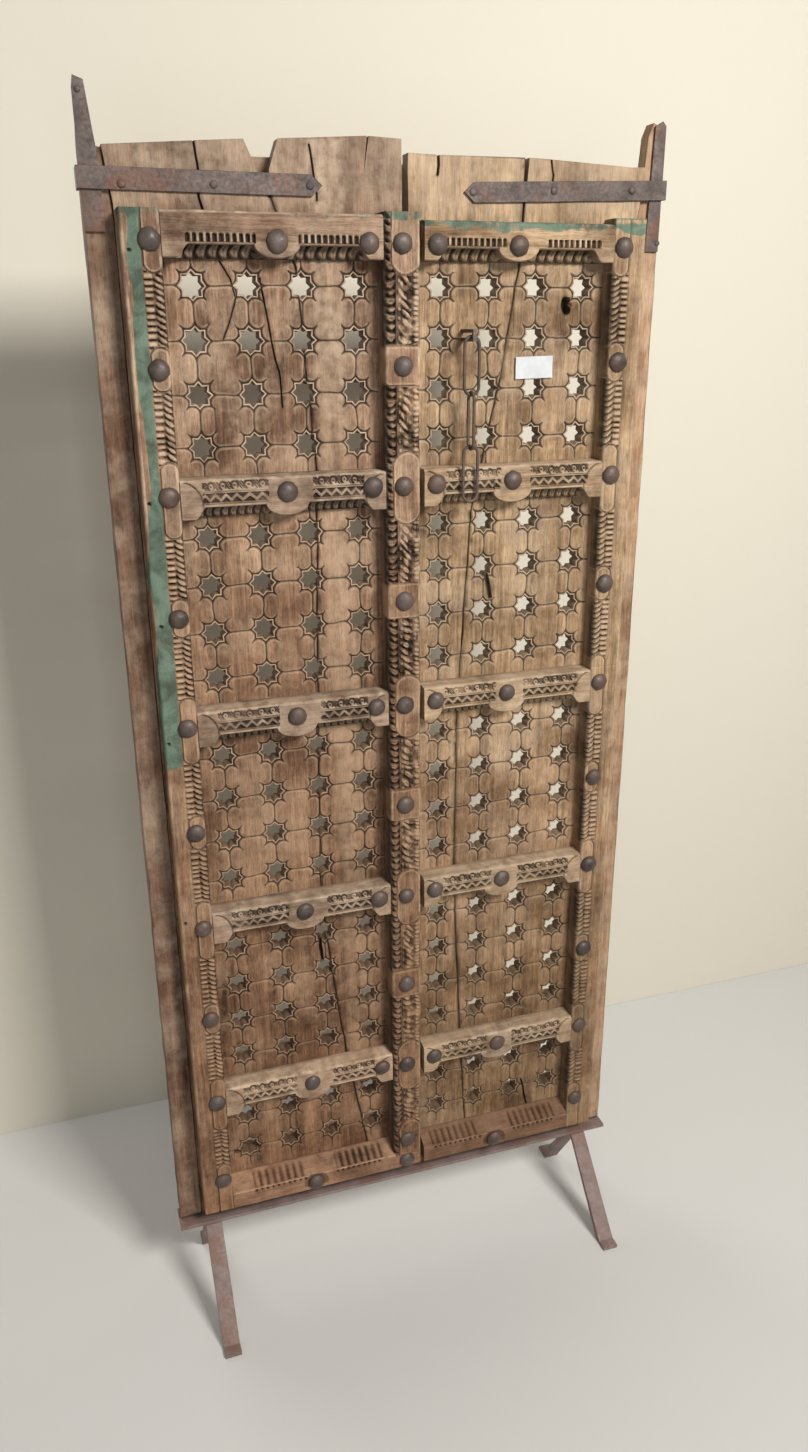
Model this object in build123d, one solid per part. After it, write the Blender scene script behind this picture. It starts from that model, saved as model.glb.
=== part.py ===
from build123d import *
import math
import os

# Carved double-leaf temple door on two pairs of steel feet, in millimetres.
# +X runs along the door to the viewer's right, +Y goes away from the viewer, +Z is up,
# and the floor is Z = 0. Each leaf is a pole, planks, back ledges and a carved front frame.

# Driving sizes of the steel stand, which carries everything
BAR_TOP = 188.0
BAR_T = 8.0
BAR_W = 60.0
BAR_END = 16.0
LEG_W = 35.0
LEG_T = 8.0
LEG_REACH = 176.0
LEG_TOE = 26.0
LEG_INSET = 70.0

# Driving sizes of the carved frame
FRAME_W = 908.0
FRAME_H = 1946.0
FRAME_T = 40.0
FRAME_FRONT = -11.0
FRAME_LIFT = 38.0
STILE_W = 62.0
FRAME_BOTTOM = BAR_TOP + FRAME_LIFT
FRAME_TOP = FRAME_BOTTOM + FRAME_H
FRAME_HALF = FRAME_W / 2
STILE_INNER = FRAME_HALF - STILE_W

# Layers behind the frame
PLANK_FRONT = FRAME_FRONT + FRAME_T
PLANK_T = 30.0
PLANK_BACK = PLANK_FRONT + PLANK_T
PLANK_LIFT = 3.0
PLANK_BOTTOM = BAR_TOP + PLANK_LIFT
LEDGE_T = 48.0
RUN_GAP = 0.3

# Meeting edge: the astragal is on the left leaf and laps over the right leaf's planks
ASTRAGAL_LEFT = -33.0
ASTRAGAL_W = 63.0
ASTRAGAL_RIGHT = ASTRAGAL_LEFT + ASTRAGAL_W
ASTRAGAL_PROUD = 6.0
ASTRAGAL_FRONT = FRAME_FRONT - ASTRAGAL_PROUD
LEFT_PLANK_EDGE = ASTRAGAL_LEFT + 45.0
LEAF_GAP = 12.0
RIGHT_PLANK_EDGE = LEFT_PLANK_EDGE + LEAF_GAP
RIGHT_RAIL_END = ASTRAGAL_RIGHT + 9.0

# Rails: four middle rails under the top rail, then the bottom rail
RAIL_H = 48.0
RAIL_DROP = 20.0
COVE_SET_BACK = 24.0
COVE_FRONT = FRAME_FRONT + COVE_SET_BACK
MID_RAILS = 4
LAST_RAIL_UP = 309.0
TOP_PANEL_EXTRA = 1.0
RAIL_STEP = (FRAME_H - LAST_RAIL_UP - TOP_PANEL_EXTRA) / MID_RAILS
FIRST_RAIL_DOWN = RAIL_STEP + TOP_PANEL_EXTRA
PANEL_H = RAIL_STEP - RAIL_H - RAIL_DROP
TOP_RAIL_H = 50.0
RIGHT_TOP_RAIL_STEP = 6.0
BOTTOM_RAIL_BACK_H = 60.0
BOTTOM_RAIL_FRONT_H = 41.0
BRACKET_FLAT = 26.0
BRACKET_SLOPE = 14.0
ROUNDEL_FLAT = 20.0
ROUNDEL_SLOPE = 17.0
LEFT_ROUNDEL_X = (ASTRAGAL_LEFT - STILE_INNER) / 2 + 2.5
RIGHT_ROUNDEL_X = (RIGHT_RAIL_END + STILE_INNER) / 2 - 5.5

# Pierced stars, in four columns a leaf
STAR_R = 21.0
STAR_NOTCH_R = 15.5
STAR_POINTS = 8
COLUMN_STEP = 90.5
PANEL_ROWS = 4
PANEL_MARGIN = 0.5
ROW_STEP = (PANEL_H - 2 * PANEL_MARGIN) / PANEL_ROWS
STARS_UP = 3.0
FIRST_PANEL_DOWN = FIRST_RAIL_DOWN - PANEL_H / 2 - STARS_UP
BOTTOM_PANEL_UP = 160.0
LEFT_STARS_X = (ASTRAGAL_LEFT - STILE_INNER) / 2 + 4
RIGHT_STARS_X = (RIGHT_RAIL_END + STILE_INNER) / 2 + 2

# Poles that the leaves turn on
POLE_W = 47.0
POLE_D = 58.0
POLE_GAP = 2.0
POLE_INNER = FRAME_HALF + POLE_GAP
POLE_OUTER = POLE_INNER + POLE_W
IRON_T = 5.0
POLE_FRONT = PLANK_FRONT + IRON_T
PEG_D = 28.0
SHOULDER_UP = 88.0
LEFT_PEG_UP = 178.0
RIGHT_PEG_UP = 160.0

# Pivots
AXIS_X = POLE_OUTER - 13.0
AXIS_Y = POLE_FRONT + 12.0
SHOE_T = 4.0
SHOE_W = 36.0
SHOE_INSET = 2.0
PIN_R = 8.0
PIN_CLEAR = 0.1
POLE_BOTTOM = BAR_TOP + RUN_GAP + SHOE_T
BAR_BOTTOM = BAR_TOP - BAR_T
BAR_HALF = AXIS_X + BAR_END
LEG_X = BAR_HALF - LEG_INSET

# Iron work
STRAP_H = 32.0
STRAP_POINT = 18.0
LEFT_STRAP_UP = 41.0
LEFT_STRAP_TIP = -124.0
RIGHT_STRAP_UP = 39.0
RIGHT_STRAP_TIP = 122.0
STUD_R = 19.0
STUD_H = 12.0
STUD_SIDES = 6
STUD_TAPER = 50
STUD_EDGE = 43.0
FOOT_STUD_UP = 81.0
BOTTOM_STUD_UP = 20.0
RAIL_STUD_DOWN = 28.0
TOP_STUD_DOWN = 45.0

# Hasp chain on the right leaf, between its first two columns of stars
CHAIN_ASIDE = 4.0
CHAIN_X = RIGHT_STARS_X - COLUMN_STEP - CHAIN_ASIDE
CHAIN_Y = -18.0
WIRE_R = 3.0
WIRE_SIDES = 6
WIRE_FLAT = WIRE_R * math.cos(math.pi / WIRE_SIDES)
LINK_L = 104.0
LINK_W = 34.0
LINK_BEND_SIDES = 3
HASP_DOWN = 186.0
LINK_TOP = FRAME_TOP - HASP_DOWN
LINK_SEAT = WIRE_R + WIRE_FLAT + RUN_GAP
LINK_PITCH = LINK_L - 2 * WIRE_R - LINK_SEAT
LINK_COUNT = 3
STAPLE_BAR = 6.0
STAPLE_HEAD = 8.0
STAPLE_REACH = 9.0


def block(x0, x1, y0, y1, z0, z1):
    return Pos((x0 + x1) / 2, (y0 + y1) / 2, (z0 + z1) / 2) * Box(x1 - x0, y1 - y0, z1 - z0)


def front_slab(points, y0, y1):
    """Extrude an (x, z) outline from y0 back to y1."""
    outline = make_face(Polyline(*points, close=True))
    return Plane.XZ.offset(-y0) * extrude(outline, amount=-(y1 - y0))


def side_slab(points, x0, x1):
    """Extrude a (y, z) outline from x0 to x1."""
    outline = make_face(Polyline(*points, close=True))
    return Plane.YZ.offset(x0) * extrude(outline, amount=x1 - x0)


def mirrored(points, side):
    """The (x, z) outline as drawn for the right side, or its mirror for side -1."""
    return [(side * x, z) for x, z in points]


def rail_tops():
    return [FRAME_TOP - FIRST_RAIL_DOWN - RAIL_STEP * i for i in range(MID_RAILS)]


def panel_centres():
    return [FRAME_TOP - FIRST_PANEL_DOWN - RAIL_STEP * i for i in range(MID_RAILS)]


def star_ring(x, z, y):
    """Corners of an eight-pointed star: points up, down, sideways and on the diagonals."""
    corners = []
    for i in range(2 * STAR_POINTS):
        radius = STAR_R if i % 2 == 0 else STAR_NOTCH_R
        angle = math.pi * i / STAR_POINTS
        corners.append((x + radius * math.cos(angle), y, z + radius * math.sin(angle)))
    return corners


def star_cut(x, z):
    """A hole as it is chiselled: a star at the front whose points run out to an octagon behind."""
    front = star_ring(x, z, PLANK_FRONT)
    back = [(cx, PLANK_BACK, cz) for cx, cy, cz in star_ring(x, z, PLANK_FRONT)[1::2]]
    faces = [Face(Wire.make_polygon(front, close=True)), Face(Wire.make_polygon(back, close=True))]
    for i in range(STAR_POINTS):
        point = front[2 * i]
        notches = (front[2 * i - 1], front[2 * i + 1])
        behind = (back[i - 1], back[i])
        faces.append(Face(Wire.make_polygon([point, notches[0], behind[0]], close=True)))
        faces.append(Face(Wire.make_polygon([point, behind[1], notches[1]], close=True)))
        faces.append(Face(Wire.make_polygon([point, behind[0], behind[1]], close=True)))
    return Solid(Shell(faces))


def star_centres(middle_x):
    """Four columns: four rows in each upper panel and two rows in the bottom panel."""
    rows = []
    for centre in panel_centres():
        rows += [centre + ROW_STEP * ((PANEL_ROWS - 1) / 2 - i) for i in range(PANEL_ROWS)]
    bottom = FRAME_BOTTOM + BOTTOM_PANEL_UP
    rows += [bottom + ROW_STEP / 2, bottom - ROW_STEP / 2]
    columns = [middle_x + COLUMN_STEP * step for step in (-1.5, -0.5, 0.5, 1.5)]
    return [(x, z) for x in columns for z in rows]


def pierced_board(outline, middle_x):
    """A plank with the star holes that fall on it cut through."""
    board = front_slab(outline, PLANK_FRONT, PLANK_BACK)
    low = min(x for x, z in outline) - STAR_R
    high = max(x for x, z in outline) + STAR_R
    holes = [star_cut(x, z) for x, z in star_centres(middle_x) if low < x < high]
    return board - holes


# The joint between the two planks of a leaf wanders down, as (distance right of the middle of
# the leaf's stars, distance below the frame's top)
LEFT_SEAM = [(1.5, -22), (36.5, 82), (60.5, 410), (50.5, 770), (41.5, 1210), (48.5, 1340), (83.5, 1632)]
LEFT_SEAM_FOOT = 142.5
RIGHT_SEAM = [(11.5, 70), (-19.5, 260), (-73.5, 500), (-96.5, 900), (-98.5, 1240), (-83.5, 1600)]
RIGHT_SEAM_TOP = 18.5
RIGHT_SEAM_FOOT = -59.5
SEAM_GAP = 0.8

# Planks' top edges, as (x, height above the frame's top), the x from the middle of the leaf's
# stars, or from the meeting edge in LEFT_SPLIT
PLANK_NOTCH = 62.0
LEFT_OUTER_TOP = [(-41.5, 105), (-19.5, PLANK_NOTCH)]
LEFT_INNER_TOP = [(-2.5, PLANK_NOTCH), (15.5, 107)]
LEFT_SPLIT = [(-58, 116), (-66, 60), (-55, 116)]
LEFT_EDGE_UP = 115.0
RIGHT_TOP = 95.0
RIGHT_SEAM_LIP = 7.0
RIGHT_CORNER_IN = 17.0


def above_top(points, from_x):
    return [(from_x + x, FRAME_TOP + up) for x, up in points]


def seam(points, foot, middle_x, side):
    """One edge of a plank joint, on its left (-1) or right (+1) side, from the top down."""
    start = middle_x + side * SEAM_GAP / 2
    return [(start + x, FRAME_TOP - down) for x, down in points] + [(start + foot, PLANK_BOTTOM)]


def pole_side(side):
    """The planks' outer edge, from the foot up to the shoulder beside the peg."""
    return mirrored([(POLE_INNER, PLANK_BOTTOM), (POLE_INNER, FRAME_TOP + 8),
                     (POLE_INNER + 10, FRAME_TOP + SHOULDER_UP)], side)


def left_planks():
    joint = (LEFT_SEAM, LEFT_SEAM_FOOT, LEFT_STARS_X)
    outer = pole_side(-1) + above_top(LEFT_OUTER_TOP, LEFT_STARS_X) + seam(*joint, -1)
    inner = above_top(LEFT_INNER_TOP, LEFT_STARS_X)
    inner += above_top(LEFT_SPLIT + [(0, LEFT_EDGE_UP)], LEFT_PLANK_EDGE)
    inner += [(LEFT_PLANK_EDGE, PLANK_BOTTOM)] + list(reversed(seam(*joint, 1)))
    return {
        "left_outer_plank": pierced_board(outer, LEFT_STARS_X),
        "left_inner_plank": pierced_board(inner, LEFT_STARS_X),
    }


def right_planks():
    lip = [(RIGHT_SEAM_TOP, -RIGHT_TOP)]
    inner = [(RIGHT_PLANK_EDGE, PLANK_BOTTOM), (RIGHT_PLANK_EDGE, FRAME_TOP + RIGHT_TOP)]
    inner += seam(lip + RIGHT_SEAM, RIGHT_SEAM_FOOT, RIGHT_STARS_X, -1)
    outer = pole_side(1) + above_top([(-RIGHT_CORNER_IN, SHOULDER_UP)], POLE_INNER)
    outer += above_top([(RIGHT_SEAM_TOP + RIGHT_SEAM_LIP, RIGHT_TOP)], RIGHT_STARS_X)
    outer += seam(RIGHT_SEAM, RIGHT_SEAM_FOOT, RIGHT_STARS_X, 1)
    return {
        "right_inner_plank": pierced_board(inner, RIGHT_STARS_X),
        "right_outer_plank": pierced_board(outer, RIGHT_STARS_X),
    }


def pole(side, peg_outline):
    """A pole with its peg at the top, the peg thinner from front to back."""
    shoulder = FRAME_TOP + SHOULDER_UP
    body = [(POLE_OUTER, POLE_BOTTOM), (POLE_INNER, POLE_BOTTOM), (POLE_INNER, FRAME_TOP + 8),
            (POLE_INNER + 10, shoulder), (POLE_OUTER, shoulder)]
    peg = [(POLE_OUTER - inset, FRAME_TOP + up) for inset, up in peg_outline]
    return (front_slab(mirrored(body, side), POLE_FRONT, POLE_FRONT + POLE_D)
            + front_slab(mirrored(peg, side), POLE_FRONT, POLE_FRONT + PEG_D))


def left_pole():
    return pole(-1, [(0, SHOULDER_UP), (29, SHOULDER_UP), (21, LEFT_PEG_UP - 15),
                     (16, LEFT_PEG_UP), (3, LEFT_PEG_UP)])


def right_pole():
    """The right peg's outer corner is broken away."""
    return pole(1, [(0, SHOULDER_UP), (36, SHOULDER_UP), (32, RIGHT_PEG_UP - 22),
                    (23, RIGHT_PEG_UP), (3, RIGHT_PEG_UP - 10)])


def pivot_shoe(side):
    """Iron plate under the pole with the pin that stands in the bar."""
    middle = side * (POLE_OUTER - 2 - SHOE_W / 2)
    plate = block(middle - SHOE_W / 2, middle + SHOE_W / 2, POLE_FRONT + SHOE_INSET,
                  POLE_FRONT + POLE_D - SHOE_INSET, BAR_TOP + RUN_GAP, POLE_BOTTOM)
    pin_low = BAR_BOTTOM
    pin_high = POLE_BOTTOM - SHOE_T / 2
    pin = Pos(side * AXIS_X, AXIS_Y, (pin_low + pin_high) / 2) * Cylinder(PIN_R, pin_high - pin_low)
    return plate + pin


def ledge_heights():
    """Low and high edge of each back ledge: one broad one at the top, then one behind each rail."""
    top = FRAME_TOP + SHOULDER_UP - 3
    rails = [(high - 58, high + 2) for high in rail_tops()]
    foot = FRAME_BOTTOM + 11
    return [(FRAME_TOP - 72, top)] + rails + [(foot, foot + 60)]


def ledges(name, x0, x1):
    parts = {}
    for i, (low, high) in enumerate(ledge_heights()):
        parts[f"{name}_ledge_{i + 1}"] = block(x0, x1, PLANK_BACK, PLANK_BACK + LEDGE_T, low, high)
    return parts


def carved_rail(x0, x1, middle_x, top, height):
    """A rail with a bracket at each end, a round drop under the middle stud and a cove between."""
    foot = top - height
    drop = foot - RAIL_DROP
    reach = BRACKET_FLAT + BRACKET_SLOPE
    wing = ROUNDEL_FLAT + ROUNDEL_SLOPE
    outline = [
        (x0, top), (x1, top), (x1, drop),
        (x1 - BRACKET_FLAT, drop), (x1 - reach, foot),
        (middle_x + wing, foot), (middle_x + ROUNDEL_FLAT, drop),
        (middle_x - ROUNDEL_FLAT, drop), (middle_x - wing, foot),
        (x0 + reach, foot), (x0 + BRACKET_FLAT, drop), (x0, drop),
    ]
    rail = front_slab(outline, FRAME_FRONT, PLANK_FRONT)
    return rail + block(x0, x1, COVE_FRONT, PLANK_FRONT, drop, foot)


def bottom_rail(x0, x1):
    """The bottom rail's top slopes down towards the front."""
    section = [(FRAME_FRONT, FRAME_BOTTOM), (PLANK_FRONT, FRAME_BOTTOM),
               (PLANK_FRONT, FRAME_BOTTOM + BOTTOM_RAIL_BACK_H),
               (FRAME_FRONT, FRAME_BOTTOM + BOTTOM_RAIL_FRONT_H)]
    return side_slab(section, x0, x1)


LEFT_STILE_JOINT_DOWN = 1705.0
RIGHT_STILE_JOINT_DOWN = 815.0
RIGHT_STILE_PROUD = 2.0


def left_frame():
    joint = FRAME_TOP - LEFT_STILE_JOINT_DOWN
    stile = (-FRAME_HALF, -STILE_INNER, FRAME_FRONT, PLANK_FRONT)
    rail = (-STILE_INNER, ASTRAGAL_LEFT, LEFT_ROUNDEL_X)
    parts = {
        "left_stile": block(*stile, joint, FRAME_TOP),
        "left_stile_foot": block(*stile, FRAME_BOTTOM, joint),
        "left_top_rail": carved_rail(*rail, FRAME_TOP, TOP_RAIL_H),
        "left_bottom_rail": bottom_rail(-STILE_INNER, ASTRAGAL_RIGHT),
    }
    for i, top in enumerate(rail_tops()):
        parts[f"left_rail_{i + 1}"] = carved_rail(*rail, top, RAIL_H)
    return parts


def right_frame():
    joint = FRAME_TOP - RIGHT_STILE_JOINT_DOWN
    stile = (STILE_INNER, FRAME_HALF, FRAME_FRONT, PLANK_FRONT)
    rail = (RIGHT_RAIL_END, STILE_INNER, RIGHT_ROUNDEL_X)
    parts = {
        "right_upper_stile": block(*stile, joint, FRAME_TOP + RIGHT_STILE_PROUD),
        "right_lower_stile": block(*stile, FRAME_BOTTOM, joint),
        "right_top_rail": carved_rail(*rail, FRAME_TOP - RIGHT_TOP_RAIL_STEP,
                                      TOP_RAIL_H - RIGHT_TOP_RAIL_STEP),
        "right_bottom_rail": bottom_rail(RIGHT_RAIL_END, STILE_INNER),
    }
    for i, top in enumerate(rail_tops()):
        parts[f"right_rail_{i + 1}"] = carved_rail(*rail, top, RAIL_H)
    return parts


def astragal():
    """The meeting bar, cut at its foot to sit on the bottom rail's slope."""
    back = PLANK_FRONT - RUN_GAP
    slope = (BOTTOM_RAIL_BACK_H - BOTTOM_RAIL_FRONT_H) / FRAME_T
    foot = FRAME_BOTTOM + BOTTOM_RAIL_FRONT_H + RUN_GAP
    top = FRAME_TOP + 3
    section = [(ASTRAGAL_FRONT, foot - slope * ASTRAGAL_PROUD),
               (back, foot + slope * (back - FRAME_FRONT)), (back, top), (ASTRAGAL_FRONT, top)]
    return side_slab(section, ASTRAGAL_LEFT, ASTRAGAL_RIGHT)


def stud(x, z, base_y):
    """A forged nail head: a low faceted cone that stands on the wood."""
    head = extrude(RegularPolygon(STUD_R, STUD_SIDES), amount=STUD_H, taper=STUD_TAPER)
    return Pos(x, base_y, z) * Rot(90, 0, 0) * head


def rail_stud_heights():
    return [FRAME_TOP - TOP_STUD_DOWN] + [top - RAIL_STUD_DOWN for top in rail_tops()]


def upright_studs(x, base_y):
    """Studs up a stile or the astragal: on each rail line, mid-panel, and one near the foot."""
    heights = rail_stud_heights() + panel_centres() + [FRAME_BOTTOM + FOOT_STUD_UP]
    return [stud(x, z, base_y) for z in heights]


def rail_studs(x):
    return [stud(x, z, FRAME_FRONT) for z in rail_stud_heights()]


def left_studs():
    astragal_x = ASTRAGAL_LEFT + ASTRAGAL_W / 2 - 0.5
    foot = FRAME_BOTTOM + BOTTOM_STUD_UP
    heads = upright_studs(STUD_EDGE - FRAME_HALF, FRAME_FRONT)
    heads += upright_studs(astragal_x, ASTRAGAL_FRONT)
    heads += rail_studs(LEFT_ROUNDEL_X)
    heads += rail_studs(ASTRAGAL_LEFT - 24)
    heads += [stud(x, foot, FRAME_FRONT) for x in (LEFT_ROUNDEL_X, astragal_x)]
    return Compound(heads)


def right_studs():
    heads = upright_studs(FRAME_HALF - STUD_EDGE, FRAME_FRONT)
    heads += rail_studs(RIGHT_RAIL_END + 23)
    heads += rail_studs(RIGHT_ROUNDEL_X)
    heads += [stud(RIGHT_ROUNDEL_X, FRAME_BOTTOM + BOTTOM_STUD_UP, FRAME_FRONT)]
    return Compound(heads)


def strap(side, tip_x, height, lift):
    """A pointed iron strap across the planks that turns back round the pole's outer side."""
    end = side * (POLE_OUTER + IRON_T)
    shoulder = tip_x + side * STRAP_POINT
    half = STRAP_H / 2
    outline = [(end, height + lift - half), (shoulder, height - half), (tip_x, height),
               (shoulder, height + half), (end, height + lift + half)]
    flat = front_slab(outline, PLANK_FRONT - IRON_T, PLANK_FRONT)
    inner = end - side * IRON_T
    wrap = block(min(end, inner), max(end, inner), PLANK_FRONT, POLE_FRONT + POLE_D / 2,
                 height + lift - half, height + lift + half)
    return flat + wrap


def pole_iron(side, outline):
    """The upright iron on the front of the pole's peg, behind the strap."""
    points = [(POLE_OUTER - inset, FRAME_TOP + up) for inset, up in outline]
    return front_slab(mirrored(points, side), PLANK_FRONT, POLE_FRONT)


def link_path(length, width):
    """Rounded oval of a link about its own centre, as (across, up) corner points."""
    radius = width / 2 - WIRE_R
    straight = length / 2 - WIRE_R - radius * math.sin(math.pi / LINK_BEND_SIDES)
    points = []
    for centre, start in ((straight, 0.0), (-straight, math.pi)):
        for i in range(LINK_BEND_SIDES + 1):
            angle = start + math.pi * i / LINK_BEND_SIDES
            points.append((radius * math.cos(angle), centre + radius * math.sin(angle)))
    return points


def link(top, turned):
    """A closed link hung with its top at the given height, face-on or turned edge-on."""
    corners = [(x, 0, z) for x, z in link_path(LINK_L, LINK_W)]
    line = Polyline(*corners, close=True)
    start = Vector(*corners[-1])
    end = Vector(*corners[0])
    plane = Plane(origin=(start + end) / 2, x_dir=(0, 1, 0), z_dir=end - start)
    ring = sweep(plane * RegularPolygon(WIRE_R, WIRE_SIDES), path=line, transition=Transition.RIGHT)
    angle = 90 if turned else 0
    return Pos(CHAIN_X, CHAIN_Y, top - LINK_L / 2) * Rot(0, 0, angle) * ring


def chain_staple():
    """A square staple driven into the plank, open enough for the first link's top."""
    leg_top = LINK_TOP - 2 * WIRE_R - RUN_GAP
    low = leg_top - STAPLE_BAR
    high = LINK_TOP + STAPLE_HEAD
    nose = CHAIN_Y - WIRE_R - STAPLE_REACH
    inside = nose + STAPLE_BAR
    outline = [(PLANK_FRONT, low), (PLANK_FRONT, leg_top), (inside, leg_top),
               (inside, high - STAPLE_BAR), (PLANK_FRONT, high - STAPLE_BAR), (PLANK_FRONT, high),
               (nose, high), (nose, low)]
    return side_slab(outline, CHAIN_X - STAPLE_BAR / 2, CHAIN_X + STAPLE_BAR / 2)


def stand_bar():
    """Flat bar under both leaves, bored for the two pivot pins."""
    middle = AXIS_Y - 6
    bar = block(-BAR_HALF, BAR_HALF, middle - BAR_W / 2, middle + BAR_W / 2, BAR_BOTTOM, BAR_TOP)
    for side in (-1, 1):
        bar -= Pos(side * AXIS_X, AXIS_Y, BAR_BOTTOM) * Cylinder(PIN_R + PIN_CLEAR, 3 * BAR_T)
    return bar


def leg(side, direction):
    """A flat-bar leg from the bar's underside out to a toe on the floor."""
    x = side * LEG_X
    root = AXIS_Y - 24 + direction * LEG_T
    reach = direction * LEG_REACH
    heel = reach - direction * LEG_TOE
    thick = direction * LEG_T * 1.35
    outline = [(root - thick / 2, BAR_BOTTOM), (heel - thick, 0), (reach, 0), (reach, LEG_T),
               (heel + thick * 0.35, LEG_T), (root + thick / 2, BAR_BOTTOM)]
    return side_slab(outline, x - LEG_W / 2, x + LEG_W / 2)


def build():
    parts = {}
    parts["left_pole"] = left_pole()
    parts["right_pole"] = right_pole()
    parts["left_pivot_shoe"] = pivot_shoe(-1)
    parts["right_pivot_shoe"] = pivot_shoe(1)
    parts.update(left_planks())
    parts.update(right_planks())
    parts.update(ledges("left", -POLE_INNER, LEFT_PLANK_EDGE - 4))
    parts.update(ledges("right", RIGHT_PLANK_EDGE + 4, POLE_INNER))
    parts.update(left_frame())
    parts.update(right_frame())
    parts["astragal"] = astragal()
    parts["left_studs"] = left_studs()
    parts["right_studs"] = right_studs()
    parts["left_strap"] = strap(-1, LEFT_STRAP_TIP, FRAME_TOP + LEFT_STRAP_UP, 2)
    parts["right_strap"] = strap(1, RIGHT_STRAP_TIP, FRAME_TOP + RIGHT_STRAP_UP, 13)
    left_top = LEFT_PEG_UP + 2
    right_top = RIGHT_PEG_UP + 2
    parts["left_pole_iron"] = pole_iron(-1, [(0, -33), (33, -33), (29, 85), (19, left_top - 6),
                                             (3, left_top), (0, left_top - 17)])
    parts["right_pole_iron"] = pole_iron(1, [(28, -49), (1, -49), (0, right_top - 8),
                                             (7, right_top), (22, right_top - 8)])
    parts["chain_staple"] = chain_staple()
    for i in range(LINK_COUNT):
        parts[f"chain_link_{i + 1}"] = link(LINK_TOP - i * LINK_PITCH, i % 2 == 1)
    parts["stand_bar"] = stand_bar()
    for side, side_name in ((-1, "left"), (1, "right")):
        for direction, end_name in ((-1, "front"), (1, "rear")):
            parts[f"{side_name}_{end_name}_leg"] = leg(side, direction)
    return parts


os.makedirs("parts", exist_ok=True)
for name, solid in build().items():
    export_step(solid, f"parts/{name}.step")
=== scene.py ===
import functools
import math
import random

import bmesh
import bpy
import numpy as np
from mathutils import Matrix, Vector, geometry


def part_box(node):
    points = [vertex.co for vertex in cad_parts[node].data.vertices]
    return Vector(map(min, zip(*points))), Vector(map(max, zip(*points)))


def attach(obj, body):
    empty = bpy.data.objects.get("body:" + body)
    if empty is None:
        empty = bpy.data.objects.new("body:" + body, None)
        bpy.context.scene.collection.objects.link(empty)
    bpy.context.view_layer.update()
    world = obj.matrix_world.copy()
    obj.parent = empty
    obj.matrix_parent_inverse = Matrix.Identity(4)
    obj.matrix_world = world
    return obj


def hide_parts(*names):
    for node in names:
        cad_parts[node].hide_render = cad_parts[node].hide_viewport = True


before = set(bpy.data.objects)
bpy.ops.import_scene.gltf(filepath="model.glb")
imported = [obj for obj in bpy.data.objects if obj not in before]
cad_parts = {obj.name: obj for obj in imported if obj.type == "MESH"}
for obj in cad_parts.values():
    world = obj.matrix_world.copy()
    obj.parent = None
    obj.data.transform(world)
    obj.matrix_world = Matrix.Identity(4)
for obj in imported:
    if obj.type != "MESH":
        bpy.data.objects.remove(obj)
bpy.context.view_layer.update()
MM = 0.001
JOIN = 0.01 * MM
FLAT = 0.02 * MM
CREASE_ANGLE = 0.9


# Sizes in millimetres, in the frame's own axes

def low(node, axis):
    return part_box(node)[0][axis] / MM


def high(node, axis):
    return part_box(node)[1][axis] / MM


def span(node, axis):
    return low(node, axis), high(node, axis)


FRAME_LEFT = low("left_stile", 0)
FRAME_TOP = high("left_stile", 2)
FRAME_FOOT = low("left_stile_foot", 2)
FRAME_FRONT = low("left_stile", 1)
PLANK_FRONT = low("left_inner_plank", 1)
PLANK_BACK = high("left_inner_plank", 1)


def new_object(name, data):
    piece = bpy.data.objects.new(name, data)
    bpy.context.scene.collection.objects.link(piece)
    return piece


def solid_mesh(node):
    """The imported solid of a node, with its doubled corners joined."""
    work = bmesh.new()
    work.from_mesh(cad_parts[node].data)
    bmesh.ops.remove_doubles(work, verts=work.verts, dist=JOIN)
    return work


# Materials

def new_material(name):
    material = bpy.data.materials.new(name)
    material.use_nodes = True
    tree = material.node_tree
    tree.nodes.clear()
    out = tree.nodes.new("ShaderNodeOutputMaterial")
    shader = tree.nodes.new("ShaderNodeBsdfPrincipled")
    tree.links.new(shader.outputs["BSDF"], out.inputs["Surface"])
    return material, tree, shader


def feed(tree, socket, value):
    """Link a value into a socket, or set the socket to it."""
    if isinstance(value, bpy.types.NodeSocket):
        tree.links.new(value, socket)
    else:
        socket.default_value = (*value, 1.0) if isinstance(value, (tuple, list)) else value


def mix(tree, factor, a, b, blend="MIX"):
    node = tree.nodes.new("ShaderNodeMix")
    node.data_type = "RGBA"
    node.blend_type = blend
    node.clamp_result = False
    for socket, value in ((0, factor), (6, a), (7, b)):
        feed(tree, node.inputs[socket], value)
    return node.outputs[2]


def math_node(tree, operation, *values, clamp=False):
    node = tree.nodes.new("ShaderNodeMath")
    node.operation = operation
    node.use_clamp = clamp
    for socket, value in zip(node.inputs, values):
        feed(tree, socket, value)
    return node.outputs[0]


def times(tree, a, b):
    return math_node(tree, "MULTIPLY", a, b)


def weighed(tree, a, share_a, b, share_b):
    return math_node(tree, "ADD", times(tree, a, share_a), times(tree, b, share_b))


def ramp(tree, source, stops):
    node = tree.nodes.new("ShaderNodeValToRGB")
    tree.links.new(source, node.inputs[0])
    elements = node.color_ramp.elements
    while len(elements) < len(stops):
        elements.new(0.5)
    for element, (position, value) in zip(elements, stops):
        element.position = position
        element.color = (*value, 1.0) if isinstance(value, tuple) else (value, value, value, 1.0)
    return node.outputs[0]


def mapped(tree, scale=(1.0, 1.0, 1.0), offset=(0.0, 0.0, 0.0)):
    coords = tree.nodes.new("ShaderNodeTexCoord")
    mapping = tree.nodes.new("ShaderNodeMapping")
    mapping.inputs["Scale"].default_value = scale
    mapping.inputs["Location"].default_value = offset
    tree.links.new(coords.outputs["Object"], mapping.inputs["Vector"])
    return mapping.outputs[0]


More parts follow.
